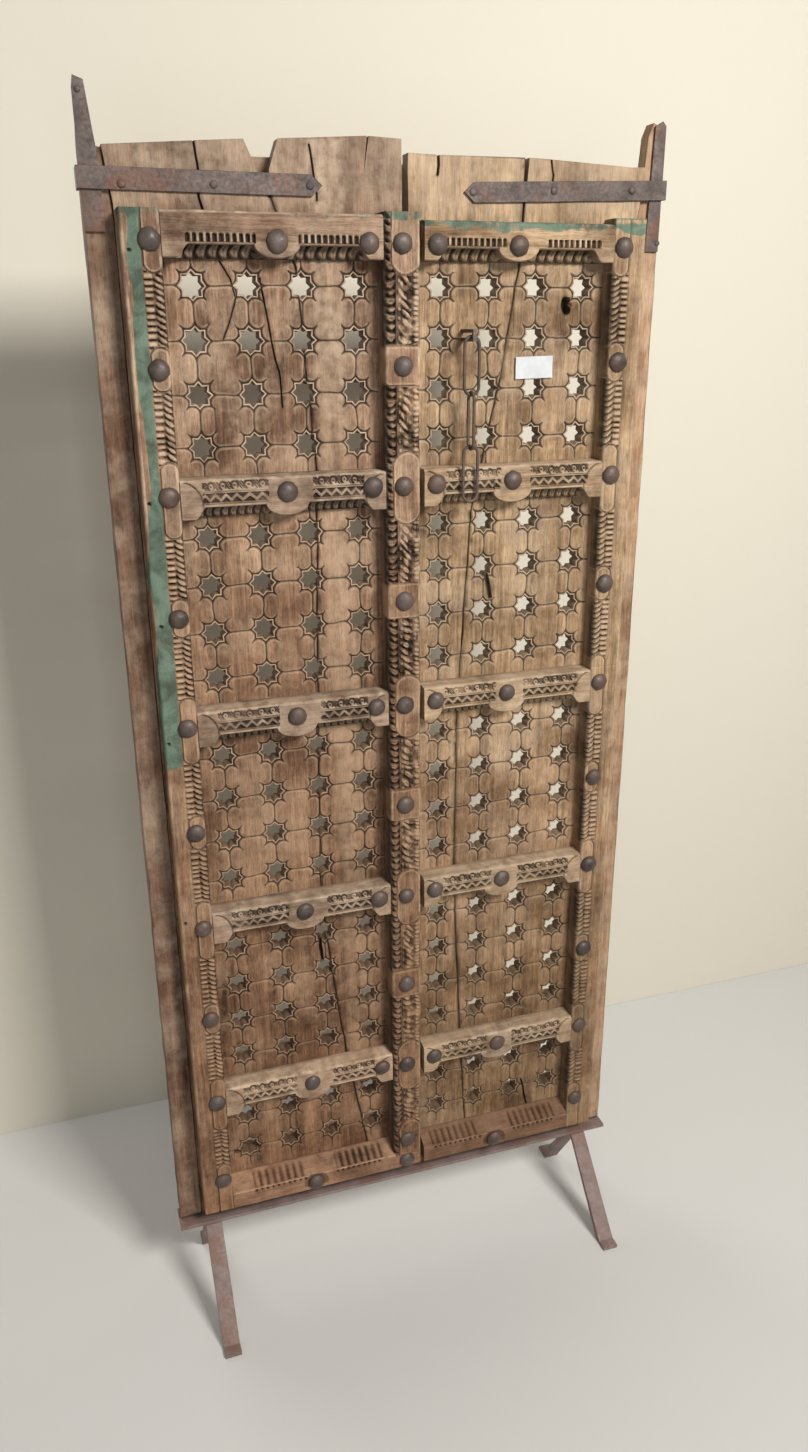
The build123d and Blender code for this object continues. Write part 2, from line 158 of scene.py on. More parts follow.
def noise_at(tree, vector, scale, detail=4.0, roughness=0.55, distortion=0.0):
    node = tree.nodes.new("ShaderNodeTexNoise")
    for label, value in (("Vector", vector), ("Scale", scale), ("Detail", detail),
                         ("Roughness", roughness), ("Distortion", distortion)):
        feed(tree, node.inputs[label], value)
    return node.outputs["Fac"]


def tinted(colour, tint):
    return tuple(a * b for a, b in zip(colour, tint))


PALE = (0.56, 0.45, 0.34)
# Tint of the timber by height, darker and redder low down and paler higher up, partly weathering and partly
# painted shade and light: each stop is at HEIGHT_SCALE times the height in metres
HEIGHT_SCALE = 0.4
GRAIN_STRETCH = 14.0
PAINT_EDGE = 12.0
DIRT_AND_SHADE_SHARE = 0.14
LEFT_HEIGHT_TINT_AND_SHADE = [(0.08, (0.82, 0.58, 0.45)), (0.14, (0.86, 0.7, 0.57)), (0.4, (0.92, 0.79, 0.67)),
                (0.6, (1.03, 0.92, 0.81)), (0.72, (1.2, 1.13, 1.05)), (0.84, (1.18, 1.12, 1.06)),
                (0.9, (0.96, 0.93, 0.9))]
RIGHT_HEIGHT_TINT_AND_SHADE = [(0.26, (0.69, 0.61, 0.54)), (0.4, (0.92, 0.84, 0.8)), (0.55, (0.96, 0.93, 0.9))]


def add_bump(tree, shader, height, strength, distance):
    bump = tree.nodes.new("ShaderNodeBump")
    for label, value in (("Height", height), ("Strength", strength), ("Distance", distance)):
        feed(tree, bump.inputs[label], value)
    tree.links.new(bump.outputs[0], shader.inputs["Normal"])


def wood(name, tones, along, pale=PALE, green=0.0, offset=0.0, patchy=0.9,
         height_tint_and_shade=LEFT_HEIGHT_TINT_AND_SHADE, tint_shift=None):
    """Old weathered timber: stretched grain, stains, dust, worn edges, and grime and painted shade in the
    carving.

    tones are dark, middle and light. The offset sets this timber's own part of the noise. The tint by
    height, partly painted shade and light, is read offset metres up, or tint_shift metres up where that is
    given.
    """
    dark, middle, light = tones
    material, tree, shader = new_material(name)
    stretch = [1.0 if axis == along else GRAIN_STRETCH for axis in "XYZ"]
    grain_space = mapped(tree, stretch, (offset, offset * 0.7, offset * 1.3))
    plain_space = mapped(tree, offset=(offset, 0.0, offset))
    fibre = noise_at(tree, grain_space, 12.0, 7.0, 0.72, 0.6)
    streak = noise_at(tree, grain_space, 3.0, 4.0, 0.55, 1.2)
    blotch = noise_at(tree, plain_space, 4.5, 5.0, 0.65, 0.3)
    stain = noise_at(tree, plain_space, 17.0, 5.0, 0.7, 0.5)
    fine = noise_at(tree, grain_space, 55.0, 4.0, 0.7)
    tone = math_node(tree, "MULTIPLY_ADD", fibre, 0.5, times(tree, streak, 0.5))
    colour = ramp(tree, tone, [(0.36, dark), (0.5, middle), (0.63, light)])
    shade = ramp(tree, blotch, [(0.36, (0.5, 0.43, 0.38)), (0.5, (0.95, 0.9, 0.86)),
                                (0.63, (1.3, 1.28, 1.24))])
    colour = mix(tree, patchy, colour, shade, "MULTIPLY")
    grime = ramp(tree, stain, [(0.4, (0.66, 0.63, 0.6)), (0.58, (1.06, 1.06, 1.06))])
    colour = mix(tree, 0.8, colour, grime, "MULTIPLY")
    dust = ramp(tree, noise_at(tree, plain_space, 9.0, 6.0, 0.75), [(0.45, 0.0), (0.7, 0.55)])
    colour = mix(tree, dust, colour, tuple(c * 0.9 for c in pale))
    place = tree.nodes.new("ShaderNodeSeparateXYZ")
    shift = offset if tint_shift is None else tint_shift
    feed(tree, place.inputs[0], mapped(tree, offset=(0.0, 0.0, shift)))
    # Darker and redder low down, paler higher up: partly weathering, partly painted shade and light.
    rise = ramp(tree, times(tree, place.outputs[2], HEIGHT_SCALE), height_tint_and_shade)
    threads = ramp(tree, fine, [(0.38, (0.5, 0.46, 0.43)), (0.5, (1.0, 1.0, 1.0))])
    colour = mix(tree, 0.7, colour, threads, "MULTIPLY")

    carve = tree.nodes.new("ShaderNodeAttribute")
    carve.attribute_name = "carve"
    parts = tree.nodes.new("ShaderNodeSeparateColor")
    tree.links.new(carve.outputs["Color"], parts.inputs[0])
    cavity_dirt_and_shade, wear, paint = parts.outputs[:3]
    speckle = noise_at(tree, plain_space, 60.0, 3.0, 0.6)
    worn = times(tree, wear, ramp(tree, speckle, [(0.3, 0.25), (0.6, 1.0)]))
    colour = mix(tree, 1.0, mix(tree, worn, colour, pale), rise, "MULTIPLY")
    # The carve attribute's first channel darkens the carving: grime and painted shade in recesses, hollows
    # and joins.
    dirt_and_shade = tuple(c * DIRT_AND_SHADE_SHARE for c in dark)
    colour = mix(tree, times(tree, cavity_dirt_and_shade, 0.9), colour, dirt_and_shade)
    if green:
        flakes = noise_at(tree, mapped(tree, (1.6, 1.6, 0.8), (3.0, 1.0, 2.0)), 26.0, 7.0, 0.75)
        patch = noise_at(tree, plain_space, 9.0, 3.0, 0.6)
        cover = weighed(tree, flakes, 0.6, patch, 0.4)
        threshold = math_node(tree, "SUBTRACT", 0.98, times(tree, paint, green))
        on = math_node(tree, "MULTIPLY", math_node(tree, "SUBTRACT", cover, threshold), PAINT_EDGE,
                       clamp=True)
        on = times(tree, on, math_node(tree, "GREATER_THAN", paint, 0.02))
        tint = ramp(tree, stain, [(0.4, (0.05, 0.08, 0.06)), (0.6, (0.13, 0.2, 0.15))])
        colour = mix(tree, times(tree, on, 0.92), colour, tint)
    tree.links.new(colour, shader.inputs["Base Color"])
    shader.inputs["Specular IOR Level"].default_value = 0.25
    rough = ramp(tree, fibre, [(0.3, 0.92), (0.7, 0.72)])
    tree.links.new(rough, shader.inputs["Roughness"])

    add_bump(tree, shader, weighed(tree, fibre, 0.6, fine, 0.4), 0.85, 1.8 * MM)
    return material


def iron(name, dark, light, rust, metallic=0.35, roughness=0.6):
    """Forged iron with a brown skin, rust bloom and rubbed high spots."""
    material, tree, shader = new_material(name)
    space = mapped(tree)
    cloud = noise_at(tree, space, 26.0, 6.0, 0.62, 0.3)
    pits = noise_at(tree, space, 160.0, 4.0, 0.65)
    bloom = noise_at(tree, space, 11.0, 5.0, 0.6, 0.8)
    colour = ramp(tree, cloud, [(0.32, dark), (0.68, light)])
    colour = mix(tree, ramp(tree, bloom, [(0.5, 0.0), (0.64, 0.75)]), colour, rust)
    tree.links.new(colour, shader.inputs["Base Color"])
    shader.inputs["Metallic"].default_value = metallic
    tree.links.new(ramp(tree, pits, [(0.3, roughness + 0.2), (0.7, roughness - 0.12)]),
                   shader.inputs["Roughness"])
    height = math_node(tree, "ADD", cloud, times(tree, pits, 0.5))
    add_bump(tree, shader, height, 0.6, 0.8 * MM)
    return material


# Shared carving helpers

def smooth_noise(x, y, seed=0):
    """Value noise from -1 to 1 over a unit grid."""
    x, y = np.broadcast_arrays(np.asarray(x, float), np.asarray(y, float))
    xi, yi = np.floor(x).astype(np.int64), np.floor(y).astype(np.int64)
    fx, fy = x - xi, y - yi
    u, v = fx * fx * (3 - 2 * fx), fy * fy * (3 - 2 * fy)

    def corner(i, j):
        h = (i * 374761393 + j * 668265263 + seed * 144665113) & 0x7FFFFFFF
        h = ((h ^ (h >> 13)) * 1274126177) & 0x7FFFFFFF
        return (h ^ (h >> 16)) / 0x7FFFFFFF * 2 - 1

    south = corner(xi, yi) * (1 - u) + corner(xi + 1, yi) * u
    north = corner(xi, yi + 1) * (1 - u) + corner(xi + 1, yi + 1) * u
    return south * (1 - v) + north * v


def unit(value):
    return np.clip(value, 0, 1)


def step(low_edge, high_edge, value):
    """Smooth rise from 0 to 1 between two values."""
    t = unit((value - low_edge) / (high_edge - low_edge))
    return t * t * (3 - 2 * t)


def fall(low_edge, high_edge, value):
    """Smooth fall from 1 to 0 between two values."""
    return 1 - step(low_edge, high_edge, value)


def groove(full, gone, offset):
    """1 along a line and 0 away from it, by the offset to either side."""
    return 1 - step(full, gone, np.abs(offset))


def deepest(*layers):
    return functools.reduce(np.maximum, layers)


def between(value, start, end, soft=2.0):
    return step(start - soft, start, value) * fall(end, end + soft, value)


def profile(distance, stops):
    return np.interp(distance, [d for d, h in stops], [h for d, h in stops])


def add_piece(name, verts, faces, body, material, replaced=(), carve=None, smooth=True):
    """A mesh piece from millimetre corners, riding on a body and standing for CAD nodes."""
    mesh = bpy.data.meshes.new(name)
    mesh.from_pydata((np.asarray(verts) * MM).tolist(), [], faces)
    mesh.validate()
    mesh.polygons.foreach_set("use_smooth", [smooth] * len(mesh.polygons))
    if carve is not None:
        layer = mesh.color_attributes.new("carve", "FLOAT_COLOR", "POINT")
        colours = np.ones((len(carve), 4))
        colours[:, :3] = unit(carve)
        layer.data.foreach_set("color", colours.ravel())
    mesh.materials.append(material)
    piece = new_object(name, mesh)
    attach(piece, body)
    if replaced:
        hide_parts(*replaced)
    mend_normals(piece)


def corner_grid(rows, columns):
    return np.arange(rows * columns).reshape(rows, columns)


def grid_faces(index):
    """Quads over a grid of corner numbers."""
    return np.stack([index[:-1, :-1], index[:-1, 1:], index[1:, 1:], index[1:, :-1]], -1).reshape(-1, 4)


def swept(node, points, carve, body, material, paint=None):
    """A closed bar from a grid of points: each row is one cross-section from back edge to back edge."""
    if paint is not None:
        carve[..., 2] = paint(points[..., 0], points[..., 2])
    index = corner_grid(*points.shape[:2])
    back = np.stack([index[:-1, 0], index[1:, 0], index[1:, -1], index[:-1, -1]], -1)
    faces = grid_faces(index).tolist() + back.tolist() + [index[0, ::-1].tolist(), index[-1].tolist()]
    add_piece("carved_" + node, points.reshape(-1, 3), faces, body, material, [node], carve.reshape(-1, 3))


def mend_normals(piece):
    work = bmesh.new()
    work.from_mesh(piece.data)
    bmesh.ops.recalc_face_normals(work, faces=work.faces)
    for edge in work.edges:
        if len(edge.link_faces) == 2 and edge.calc_face_angle(0.0) > CREASE_ANGLE:
            edge.smooth = False
    work.to_mesh(piece.data)
    work.free()


# Finishes

LEFT_TONES = (0.1, 0.062, 0.042), (0.235, 0.155, 0.108), (0.38, 0.27, 0.195)
RIGHT_TONES = (0.175, 0.118, 0.066), (0.38, 0.27, 0.165), (0.54, 0.405, 0.26)
POLE_TONES = (0.07, 0.035, 0.022), (0.16, 0.085, 0.052), (0.27, 0.155, 0.1)
PALE_POLE_TONES = (0.2, 0.11, 0.06), (0.4, 0.25, 0.15), (0.56, 0.38, 0.25)


def sill_wood(name, tones, tint, offset):
    """The bottom rails' timber, redder, and darker at the foot of the door, partly painted shade."""
    return wood(name, [tinted(tone, tint) for tone in tones], "X", pale=tinted(PALE, tint), offset=offset)


LEFT_Z = wood("left_timber_upright", LEFT_TONES, "Z", green=0.68)
LEFT_X = wood("left_timber_level", LEFT_TONES, "X", green=0.58, offset=1.3)
RIGHT_Z = wood("right_timber_upright", RIGHT_TONES, "Z", green=0.58, offset=2.1, height_tint_and_shade=RIGHT_HEIGHT_TINT_AND_SHADE,
               tint_shift=0.0)
RIGHT_X = wood("right_timber_level", RIGHT_TONES, "X", green=0.58, offset=3.7)
# The bottom rails: a redder tint, and darker at the foot of the door, which is partly painted shade.
LEFT_SILL = sill_wood("left_bottom_timber", LEFT_TONES, (0.9, 0.77, 0.72), 1.3)
RIGHT_SILL = sill_wood("right_bottom_timber", RIGHT_TONES, (0.51, 0.4, 0.37), 3.7)
POLE = wood("pole_timber", POLE_TONES, "Z", offset=5.0, patchy=0.3)
POLE_PALE = wood("pale_pole_timber", PALE_POLE_TONES, "Z", offset=6.0, patchy=0.3)
STRAP_IRON = iron("strap_iron", (0.05, 0.036, 0.032), (0.13, 0.1, 0.09), (0.13, 0.06, 0.035))
STUD_IRON = iron("stud_iron", (0.032, 0.022, 0.018), (0.12, 0.088, 0.076), (0.1, 0.055, 0.036), 0.2, 0.5)
CHAIN_IRON = iron("chain_iron", (0.042, 0.03, 0.024), (0.13, 0.092, 0.072), (0.12, 0.06, 0.04), 0.2)
STAND_STEEL = iron("stand_steel", (0.16, 0.11, 0.1), (0.26, 0.2, 0.18), (0.2, 0.11, 0.08), 0.1, 0.62)


def dress(node, material):
    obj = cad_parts[node]
    obj.data.materials.clear()
    obj.data.materials.append(material)


TIMBER = {"left": (LEFT_Z, LEFT_X, POLE), "right": (RIGHT_Z, RIGHT_X, POLE_PALE)}


def node_material(node):
    """The material of a plain solid, by the first of these words in its name."""
    upright, level, pole = TIMBER["right" if node.startswith("right") else "left"]
    for words, material in ((("_leg", "stand_bar"), STAND_STEEL), (("chain",), CHAIN_IRON),
                            (("stud",), STUD_IRON), (("strap", "iron", "shoe"), STRAP_IRON),
                            (("_pole",), pole), (("rail", "ledge"), level)):
        if any(word in node for word in words):
            return material
    return upright


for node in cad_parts:
    dress(node, node_material(node))


# Where things lie on the carved frame

RAIL_DROP = 20.0
COVE_BACK = 24.0
COLUMN_STEP = 90.5
ROW_STEP = 85.0
RAIL_STEP = 409.0
FIRST_RAIL_DOWN = 410.0
FIRST_PANEL_DOWN = 236.5
BOTTOM_PANEL_UP = 160.0
STAR_R = 21.0
STAR_NOTCH_R = 15.5
LEFT_STARS_X = -208.5
RIGHT_STARS_X = 217.5
ROUNDEL_X = {"left": -210.0, "right": 210.0}
MID_RAILS = 4
PANELS_DOWN = [FIRST_PANEL_DOWN + RAIL_STEP * i for i in range(MID_RAILS)]
RAILS_DOWN = [FIRST_RAIL_DOWN + RAIL_STEP * i for i in range(MID_RAILS)]
FOOT_DOWN = FRAME_TOP - FRAME_FOOT


# Carved planks: star holes, each in a sunk ring, and tiles between them

LOBE_AT = 34.7
LOBE_R = 13.3
LOBE_ALONG = LOBE_AT * math.cos(math.pi / 8)
LOBE_ACROSS = LOBE_AT * math.sin(math.pi / 8)
LOBE_CUSP = LOBE_ACROSS + LOBE_R * math.sqrt(0.5)
LOBE_STOPS = ((-0.3, -5.4), (0.0, -4.8), (0.8, -2.3), (2.8, -0.8), (5.5, 0.0))
RIM_STOPS = ((0.0, -3.8), (0.5, -3.1), (1.9, -3.1), (2.4, -3.6), (3.0, -6.0))
RIM_SLANT = 0.78
RIM_LINES = (0.5, 1.9, 2.5, 3.1)
HOLE_TAPER = 0.95
CRACK_LIP = 0.9
FRONT_JOIN = 0.02
BACK_JOIN = 0.0005
GRID_STEP = 8.0


def star_radius(angle, tip, notch):
    """Radius of an eight-pointed outline with straight edges, at an angle."""
    sector = math.pi / 8
    part = angle % (2 * sector)
    part = np.minimum(part, 2 * sector - part)
    return tip * notch * math.sin(sector) / (tip * np.sin(part) + notch * np.sin(sector - part))


def star_rows():
    rows = [FRAME_TOP - down + ROW_STEP * s for down in PANELS_DOWN for s in (1.5, 0.5, -0.5, -1.5)]
    foot = FRAME_FOOT + BOTTOM_PANEL_UP
    return np.array(rows + [foot + ROW_STEP / 2, foot - ROW_STEP / 2])


def star_columns(middle):
    return middle + COLUMN_STEP * np.array([-1.5, -0.5, 0.5, 1.5])


def nearest(values, targets):
    return targets[np.abs(values[..., None] - targets).argmin(-1)]


def star_polar(x, z, middle):
    dx = x - nearest(x, star_columns(middle))
    dz = z - nearest(z, star_rows())
    return dx, dz, np.hypot(dx, dz), np.arctan2(dz, dx) % (2 * math.pi)


def line_distance(x, z, points):
    best = np.full(np.shape(x), 1e9)
    for (ax, az), (bx, bz) in zip(points[:-1], points[1:]):
        ux, uz = bx - ax, bz - az
        t = unit(((x - ax) * ux + (z - az) * uz) / (ux * ux + uz * uz))
        best = np.minimum(best, np.hypot(x - ax - t * ux, z - az - t * uz))
    return best


def lobe_depth(dx, dz):
    """How far a point lies inside the nearest round-ended lobe beside its star."""
    ax, az = np.abs(dx), np.abs(dz)
    along, across = np.maximum(ax, az), np.minimum(ax, az)
    out, aside = along - LOBE_ALONG, across - LOBE_ACROSS
    round_end = LOBE_R - np.hypot(out, aside)
    straight = LOBE_R - np.abs(aside)
    past_cusp = np.hypot(along - LOBE_ALONG + LOBE_R * math.sqrt(0.5), across - LOBE_CUSP)
    value = np.where((out > 0) & (aside <= 0), straight, round_end)
    return np.where((aside > 0) & (aside > -out), past_cusp, value)


# The joint between a leaf's two planks, as (distance from the middle of its stars, distance down)
PLANK_FOOT_DOWN = FRAME_TOP - low("left_inner_plank", 2)
SEAMS = {
    LEFT_STARS_X: [(1.5, -22), (36.5, 82), (60.5, 410), (50.5, 770), (41.5, 1210), (48.5, 1340),
                   (83.5, 1632), (142.5, PLANK_FOOT_DOWN)],
    RIGHT_STARS_X: [(18.5, -95), (11.5, 70), (-19.5, 260), (-73.5, 500), (-96.5, 900), (-98.5, 1240),
                    (-83.5, 1600), (-59.5, PLANK_FOOT_DOWN)],
}


def plank_relief(x, z, middle, cracks):
    """Depth, grime and painted shade, and wear of the carved plank face."""
    dx, dz, r, angle = star_polar(x, z, middle)
    in_lobe = lobe_depth(dx, dz)
    from_hole = (r - star_radius(angle, STAR_R, STAR_NOTCH_R)) * RIM_SLANT
    down = FRAME_TOP - z
    fade = 0.8 + 0.25 * smooth_noise(x / 55, z / 70, 2) - 0.35 * step(1500, 1850, down)
    carved = (down > 30) & (np.abs(dz) < ROW_STEP / 2 + 12) & (np.abs(dx) < COLUMN_STEP / 2 + 12)
    lobes = profile(in_lobe, LOBE_STOPS) * fade
    rim = profile(from_hole, RIM_STOPS)
    height = np.where(in_lobe < 0.1, np.maximum(lobes, rim), lobes) * carved
    on_rim = between(from_hole, 0.2, 2.2, 0.4)
    # Darkens the sunk ring round each star and the lobes' edges: painted shade in the recesses, with grime.
    dirt_and_shade = np.where(in_lobe < 0.4, 0.95 - 0.85 * on_rim, unit(1 - in_lobe / 1.6) * 0.75) * carved
    wear = np.maximum(on_rim * 0.8, between(in_lobe, 1.0, 3.0, 0.8) * 0.4 * fade) * carved
    joint = line_distance(x, z, [(middle + a, FRAME_TOP - b) for a, b in SEAMS[middle]])
    height = np.minimum(height, -4.0 * unit(1.05 - joint / 2.0))
    dirt_and_shade = np.maximum(dirt_and_shade, unit(1.25 - joint / 2.2))
    for points, width, depth in cracks:
        distance = line_distance(x, z, points)
        cut = unit(1 - (distance - width / 2) / CRACK_LIP) * depth
        height = np.minimum(height, -cut)
        dirt_and_shade = np.maximum(dirt_and_shade, unit(1 - (distance - width / 2) / 1.5))
    return height, dirt_and_shade, wear


def front_segments(node):
    """Boundary edges of a node's front face, in millimetres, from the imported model."""
    work = solid_mesh(node)
    front = min(v.co.y for v in work.verts)
    flat = {f for f in work.faces if all(abs(v.co.y - front) < FLAT for v in f.verts)}
    segments = []
    for edge in work.edges:
        if sum(f in flat for f in edge.link_faces) == 1:
            segments.append([(v.co.x / MM, v.co.z / MM) for v in edge.verts])
    work.free()
    return np.array(segments)


def inside(x, z, segments):
    """Even-odd test of points against closed outlines given as segments."""
    hits = np.zeros(len(x), bool)
    for (ax, az), (bx, bz) in segments:
        crosses = (az > z) != (bz > z)
        if az != bz:
            at = ax + (z - az) * (bx - ax) / (bz - az)
            hits ^= crosses & (x < at)
    return hits


def welded(points):
    """Unique points and the index of each given point among them."""
    keys, index = np.unique(np.round(points, 3), axis=0, return_inverse=True)
    return keys, index.ravel()


def hand_warp(x, z):
    """Small uneven shift that makes cut edges look cut by hand."""
    sx = smooth_noise(x / 26, z / 26, 3) * 1.3 + smooth_noise(x / 9, z / 9, 4) * 0.55
    sz = smooth_noise(x / 26, z / 26, 5) * 1.3 + smooth_noise(x / 9, z / 9, 6) * 0.55
    return sx, sz


def ring_lines(middle, xlow, xhigh):
    """Construction lines round each star: the rim, the ends of the lobes and the grooves between."""
    lines = []
    star_angles = np.arange(17) * math.pi / 8
    arc = np.linspace(math.pi, 1.75 * math.pi, 9)
    for cx in star_columns(middle):
        if not xlow - 50 < cx < xhigh + 50:
            continue
        for cz in star_rows():
            hole = star_radius(star_angles, STAR_R, STAR_NOTCH_R)
            for offset in RIM_LINES:
                radius = hole + offset / RIM_SLANT
                lines.append(np.stack([cx + radius * np.cos(star_angles),
                                       cz + radius * np.sin(star_angles)], 1))
            for inset in [stop[0] for stop in LOBE_STOPS[1:]]:
                across = LOBE_ACROSS + (LOBE_R - inset) * np.cos(arc)
                along = LOBE_ALONG + (LOBE_R - inset) * np.sin(arc)
                across = np.concatenate([[across[0], across[0]], across])
                along = np.concatenate([[COLUMN_STEP / 2, LOBE_ALONG + 4], along])
                for sx in (-1, 1):
                    for sz in (-1, 1):
                        lines.append(np.stack([cx + sx * along, cz + sz * across], 1))
                        lines.append(np.stack([cx + sx * across, cz + sz * along], 1))
    return lines


def crack_lines(points, width):
    """The middle of a crack, and a closed line round each lip."""
    path = np.array(points, float)
    fine = [path[0]]
    for a, b in zip(path[:-1], path[1:]):
        count = max(1, int(np.hypot(*(b - a)) / 9))
        fine += [a + (b - a) * (i + 1) / count for i in range(count)]
    fine = np.array(fine)
    along = np.gradient(fine, axis=0)
    along /= np.hypot(*along.T)[:, None]
    side = np.stack([-along[:, 1], along[:, 0]], 1)
    lines = [fine]
    turns = np.linspace(0, math.pi, 7)[1:-1]
    for reach in (width / 2, width / 2 + CRACK_LIP):
        head = [fine[0] + reach * (-side[0] * math.cos(t) - along[0] * math.sin(t)) for t in turns]
        tail = [fine[-1] + reach * (side[-1] * math.cos(t) + along[-1] * math.sin(t)) for t in turns]
        loop = np.concatenate([fine + side * reach, tail, (fine - side * reach)[::-1], head])
        lines.append(np.concatenate([loop, loop[:1]]))
    return lines


def triangulated(points, edges, join, segments, need_ids=True):
    """Corners and triangles inside closed outlines, and the given points that each corner stands for."""
    coords = [Vector(p) for p in points.tolist()]
    result = geometry.delaunay_2d_cdt(coords, edges, [], 0, join, need_ids)
    flat = np.array([(v.x, v.y) for v in result[0]])
    triangles = np.array(result[2])
    centre = flat[triangles].mean(1)
    return flat, triangles[inside(centre[:, 0], centre[:, 1], segments)], result[3]


def carved_plank(node, body, material, middle, cracks=(), sapwood=(0.0, -100.0)):
    """A plank's carved front with its star holes, a plain back, and the walls between the two."""
    segments = front_segments(node)
    corners, index = welded(segments.reshape(-1, 2))
    points = [corners]
    edges = index.reshape(-1, 2).tolist()
    count = len(corners)
    xlow, zlow = corners.min(0)
    xhigh, zhigh = corners.max(0)
    lines = ring_lines(middle, xlow, xhigh)
    for crack in cracks:
        lines += crack_lines(*crack[:2])
    for line in lines:
        points.append(line)
        edges += [(count + i, count + i + 1) for i in range(len(line) - 1)]
        count += len(line)
    gx, gz = np.meshgrid(np.arange(xlow, xhigh, GRID_STEP), np.arange(zlow, zhigh, GRID_STEP))
    gx = gx + smooth_noise(gx, gz, 11) * 2
    gz = gz + smooth_noise(gx, gz, 12) * 2
    points.append(np.stack([gx.ravel(), gz.ravel()], 1))
    flat, triangles = triangulated(np.concatenate(points), edges, FRONT_JOIN, segments, False)[:2]
    used, triangles = np.unique(triangles, return_inverse=True)
    flat = flat[used]
    triangles = triangles.reshape(-1, 3)

    x, z = flat.T
    height, dirt_and_shade, wear = plank_relief(x, z, middle, cracks)
    height = height + (smooth_noise(x / 38, z / 60, 7) - 0.6) * 0.8
    height = np.minimum(height, -0.1)
    sx, sz = hand_warp(x, z)
    corner_pairs = [triangles[:, [0, 1]], triangles[:, [1, 2]], triangles[:, [2, 0]]]
    edge_keys = np.sort(np.concatenate(corner_pairs), 1)
    keys, counts = np.unique(edge_keys, axis=0, return_counts=True)
    border = keys[counts == 1]

    wall = np.unique(border)
    lookup = -np.ones(len(flat), int)
    lookup[wall] = np.arange(len(wall))
    bx, bz = flat[wall].T
    dx, dz, r, angle = star_polar(bx, bz, middle)
    on_hole = np.abs(r - star_radius(angle, STAR_R, STAR_NOTCH_R)) < 0.3
    shrink = np.where(on_hole, HOLE_TAPER, 1.0)
    outline = np.stack([bx + dx * (shrink - 1), bz + dz * (shrink - 1)], 1)
    back_edges = lookup[border]
    bflat, btri, sources = triangulated(outline, back_edges.tolist(), BACK_JOIN, outline[back_edges])

    front = np.stack([x + sx, PLANK_FRONT - height, z + sz], 1)
    wx, wz = hand_warp(bflat[:, 0], bflat[:, 1])
    back = np.stack([bflat[:, 0] + wx, np.full(len(bflat), PLANK_BACK), bflat[:, 1] + wz], 1)
    to_back = np.zeros(len(wall), int)
    for new, group in enumerate(sources):
        to_back[list(group)] = new
    offset = len(front)
    quads = []
    for a, b in border:
        c, d = offset + to_back[lookup[b]], offset + to_back[lookup[a]]
        quads.append((a, b, c, d) if c != d else (a, b, c))
    faces = triangles.tolist() + quads + (btri[:, ::-1] + offset).tolist()
    carve = np.zeros((len(front) + len(back), 3))
    carve[:len(front), 0] = dirt_and_shade
    bleached = step(-10, 30, z - FRAME_TOP) * 0.4
    bleached += between(x + 0.02 * (z - FRAME_TOP), *sapwood, 14.0) * 0.42
    carve[:len(front), 1] = np.maximum(wear, bleached * (0.8 + 0.3 * smooth_noise(x / 11, z / 60, 8)))
    # The back face darkened, and with it the hole walls: painted shade.
    carve[offset:, 0] = 0.45
    add_piece("carved_" + node, np.concatenate([front, back]), faces, body, material, [node], carve)


# Stiles and astragal: bars swept down the leaf with a relief across their front

def pad_distance(u, down, pads, middle, half):
    """Signed distance to the nearest round-ended pad, negative inside it."""
    best = np.full(np.broadcast(u, down).shape, 1e3)
    for start, end in pads:
        nearest_down = np.clip(down, start + half, max(end - half, start + half))
        best = np.minimum(best, np.hypot(u - middle, down - nearest_down) - half)
    return best


STILE_PADS = ([(-20, 92)] + [(d - 33, d + 33) for d in PANELS_DOWN]
              + [(d - 27, d + 97) for d in RAILS_DOWN] + [(FOOT_DOWN - 120, FOOT_DOWN + 30)])
TOOTH = 10.5
# Across a stile, from its outer edge: a plain band, a comb of ribs, small buds and a row of leaves
BAND_EDGE = 29.5
COMB = (31, 43.5)
BUDS_AT = 47.0
LEAVES_AT = 53.5
STILE_PAD_R = 15.0


def petal(across, down, half_across, half_down, slant):
    """1 on a slanted oval leaf, 0 off it."""
    c, k = math.cos(slant), math.sin(slant)
    p, q = across * c + down * k, down * c - across * k
    return fall(0.72, 1.12, np.hypot(p / half_across, q / half_down))


def repeat(value, pitch, shift=0.0):
    """Distance from the middle of the nearest copy."""
    return (value / pitch + shift + 0.5) % 1 * pitch - pitch / 2


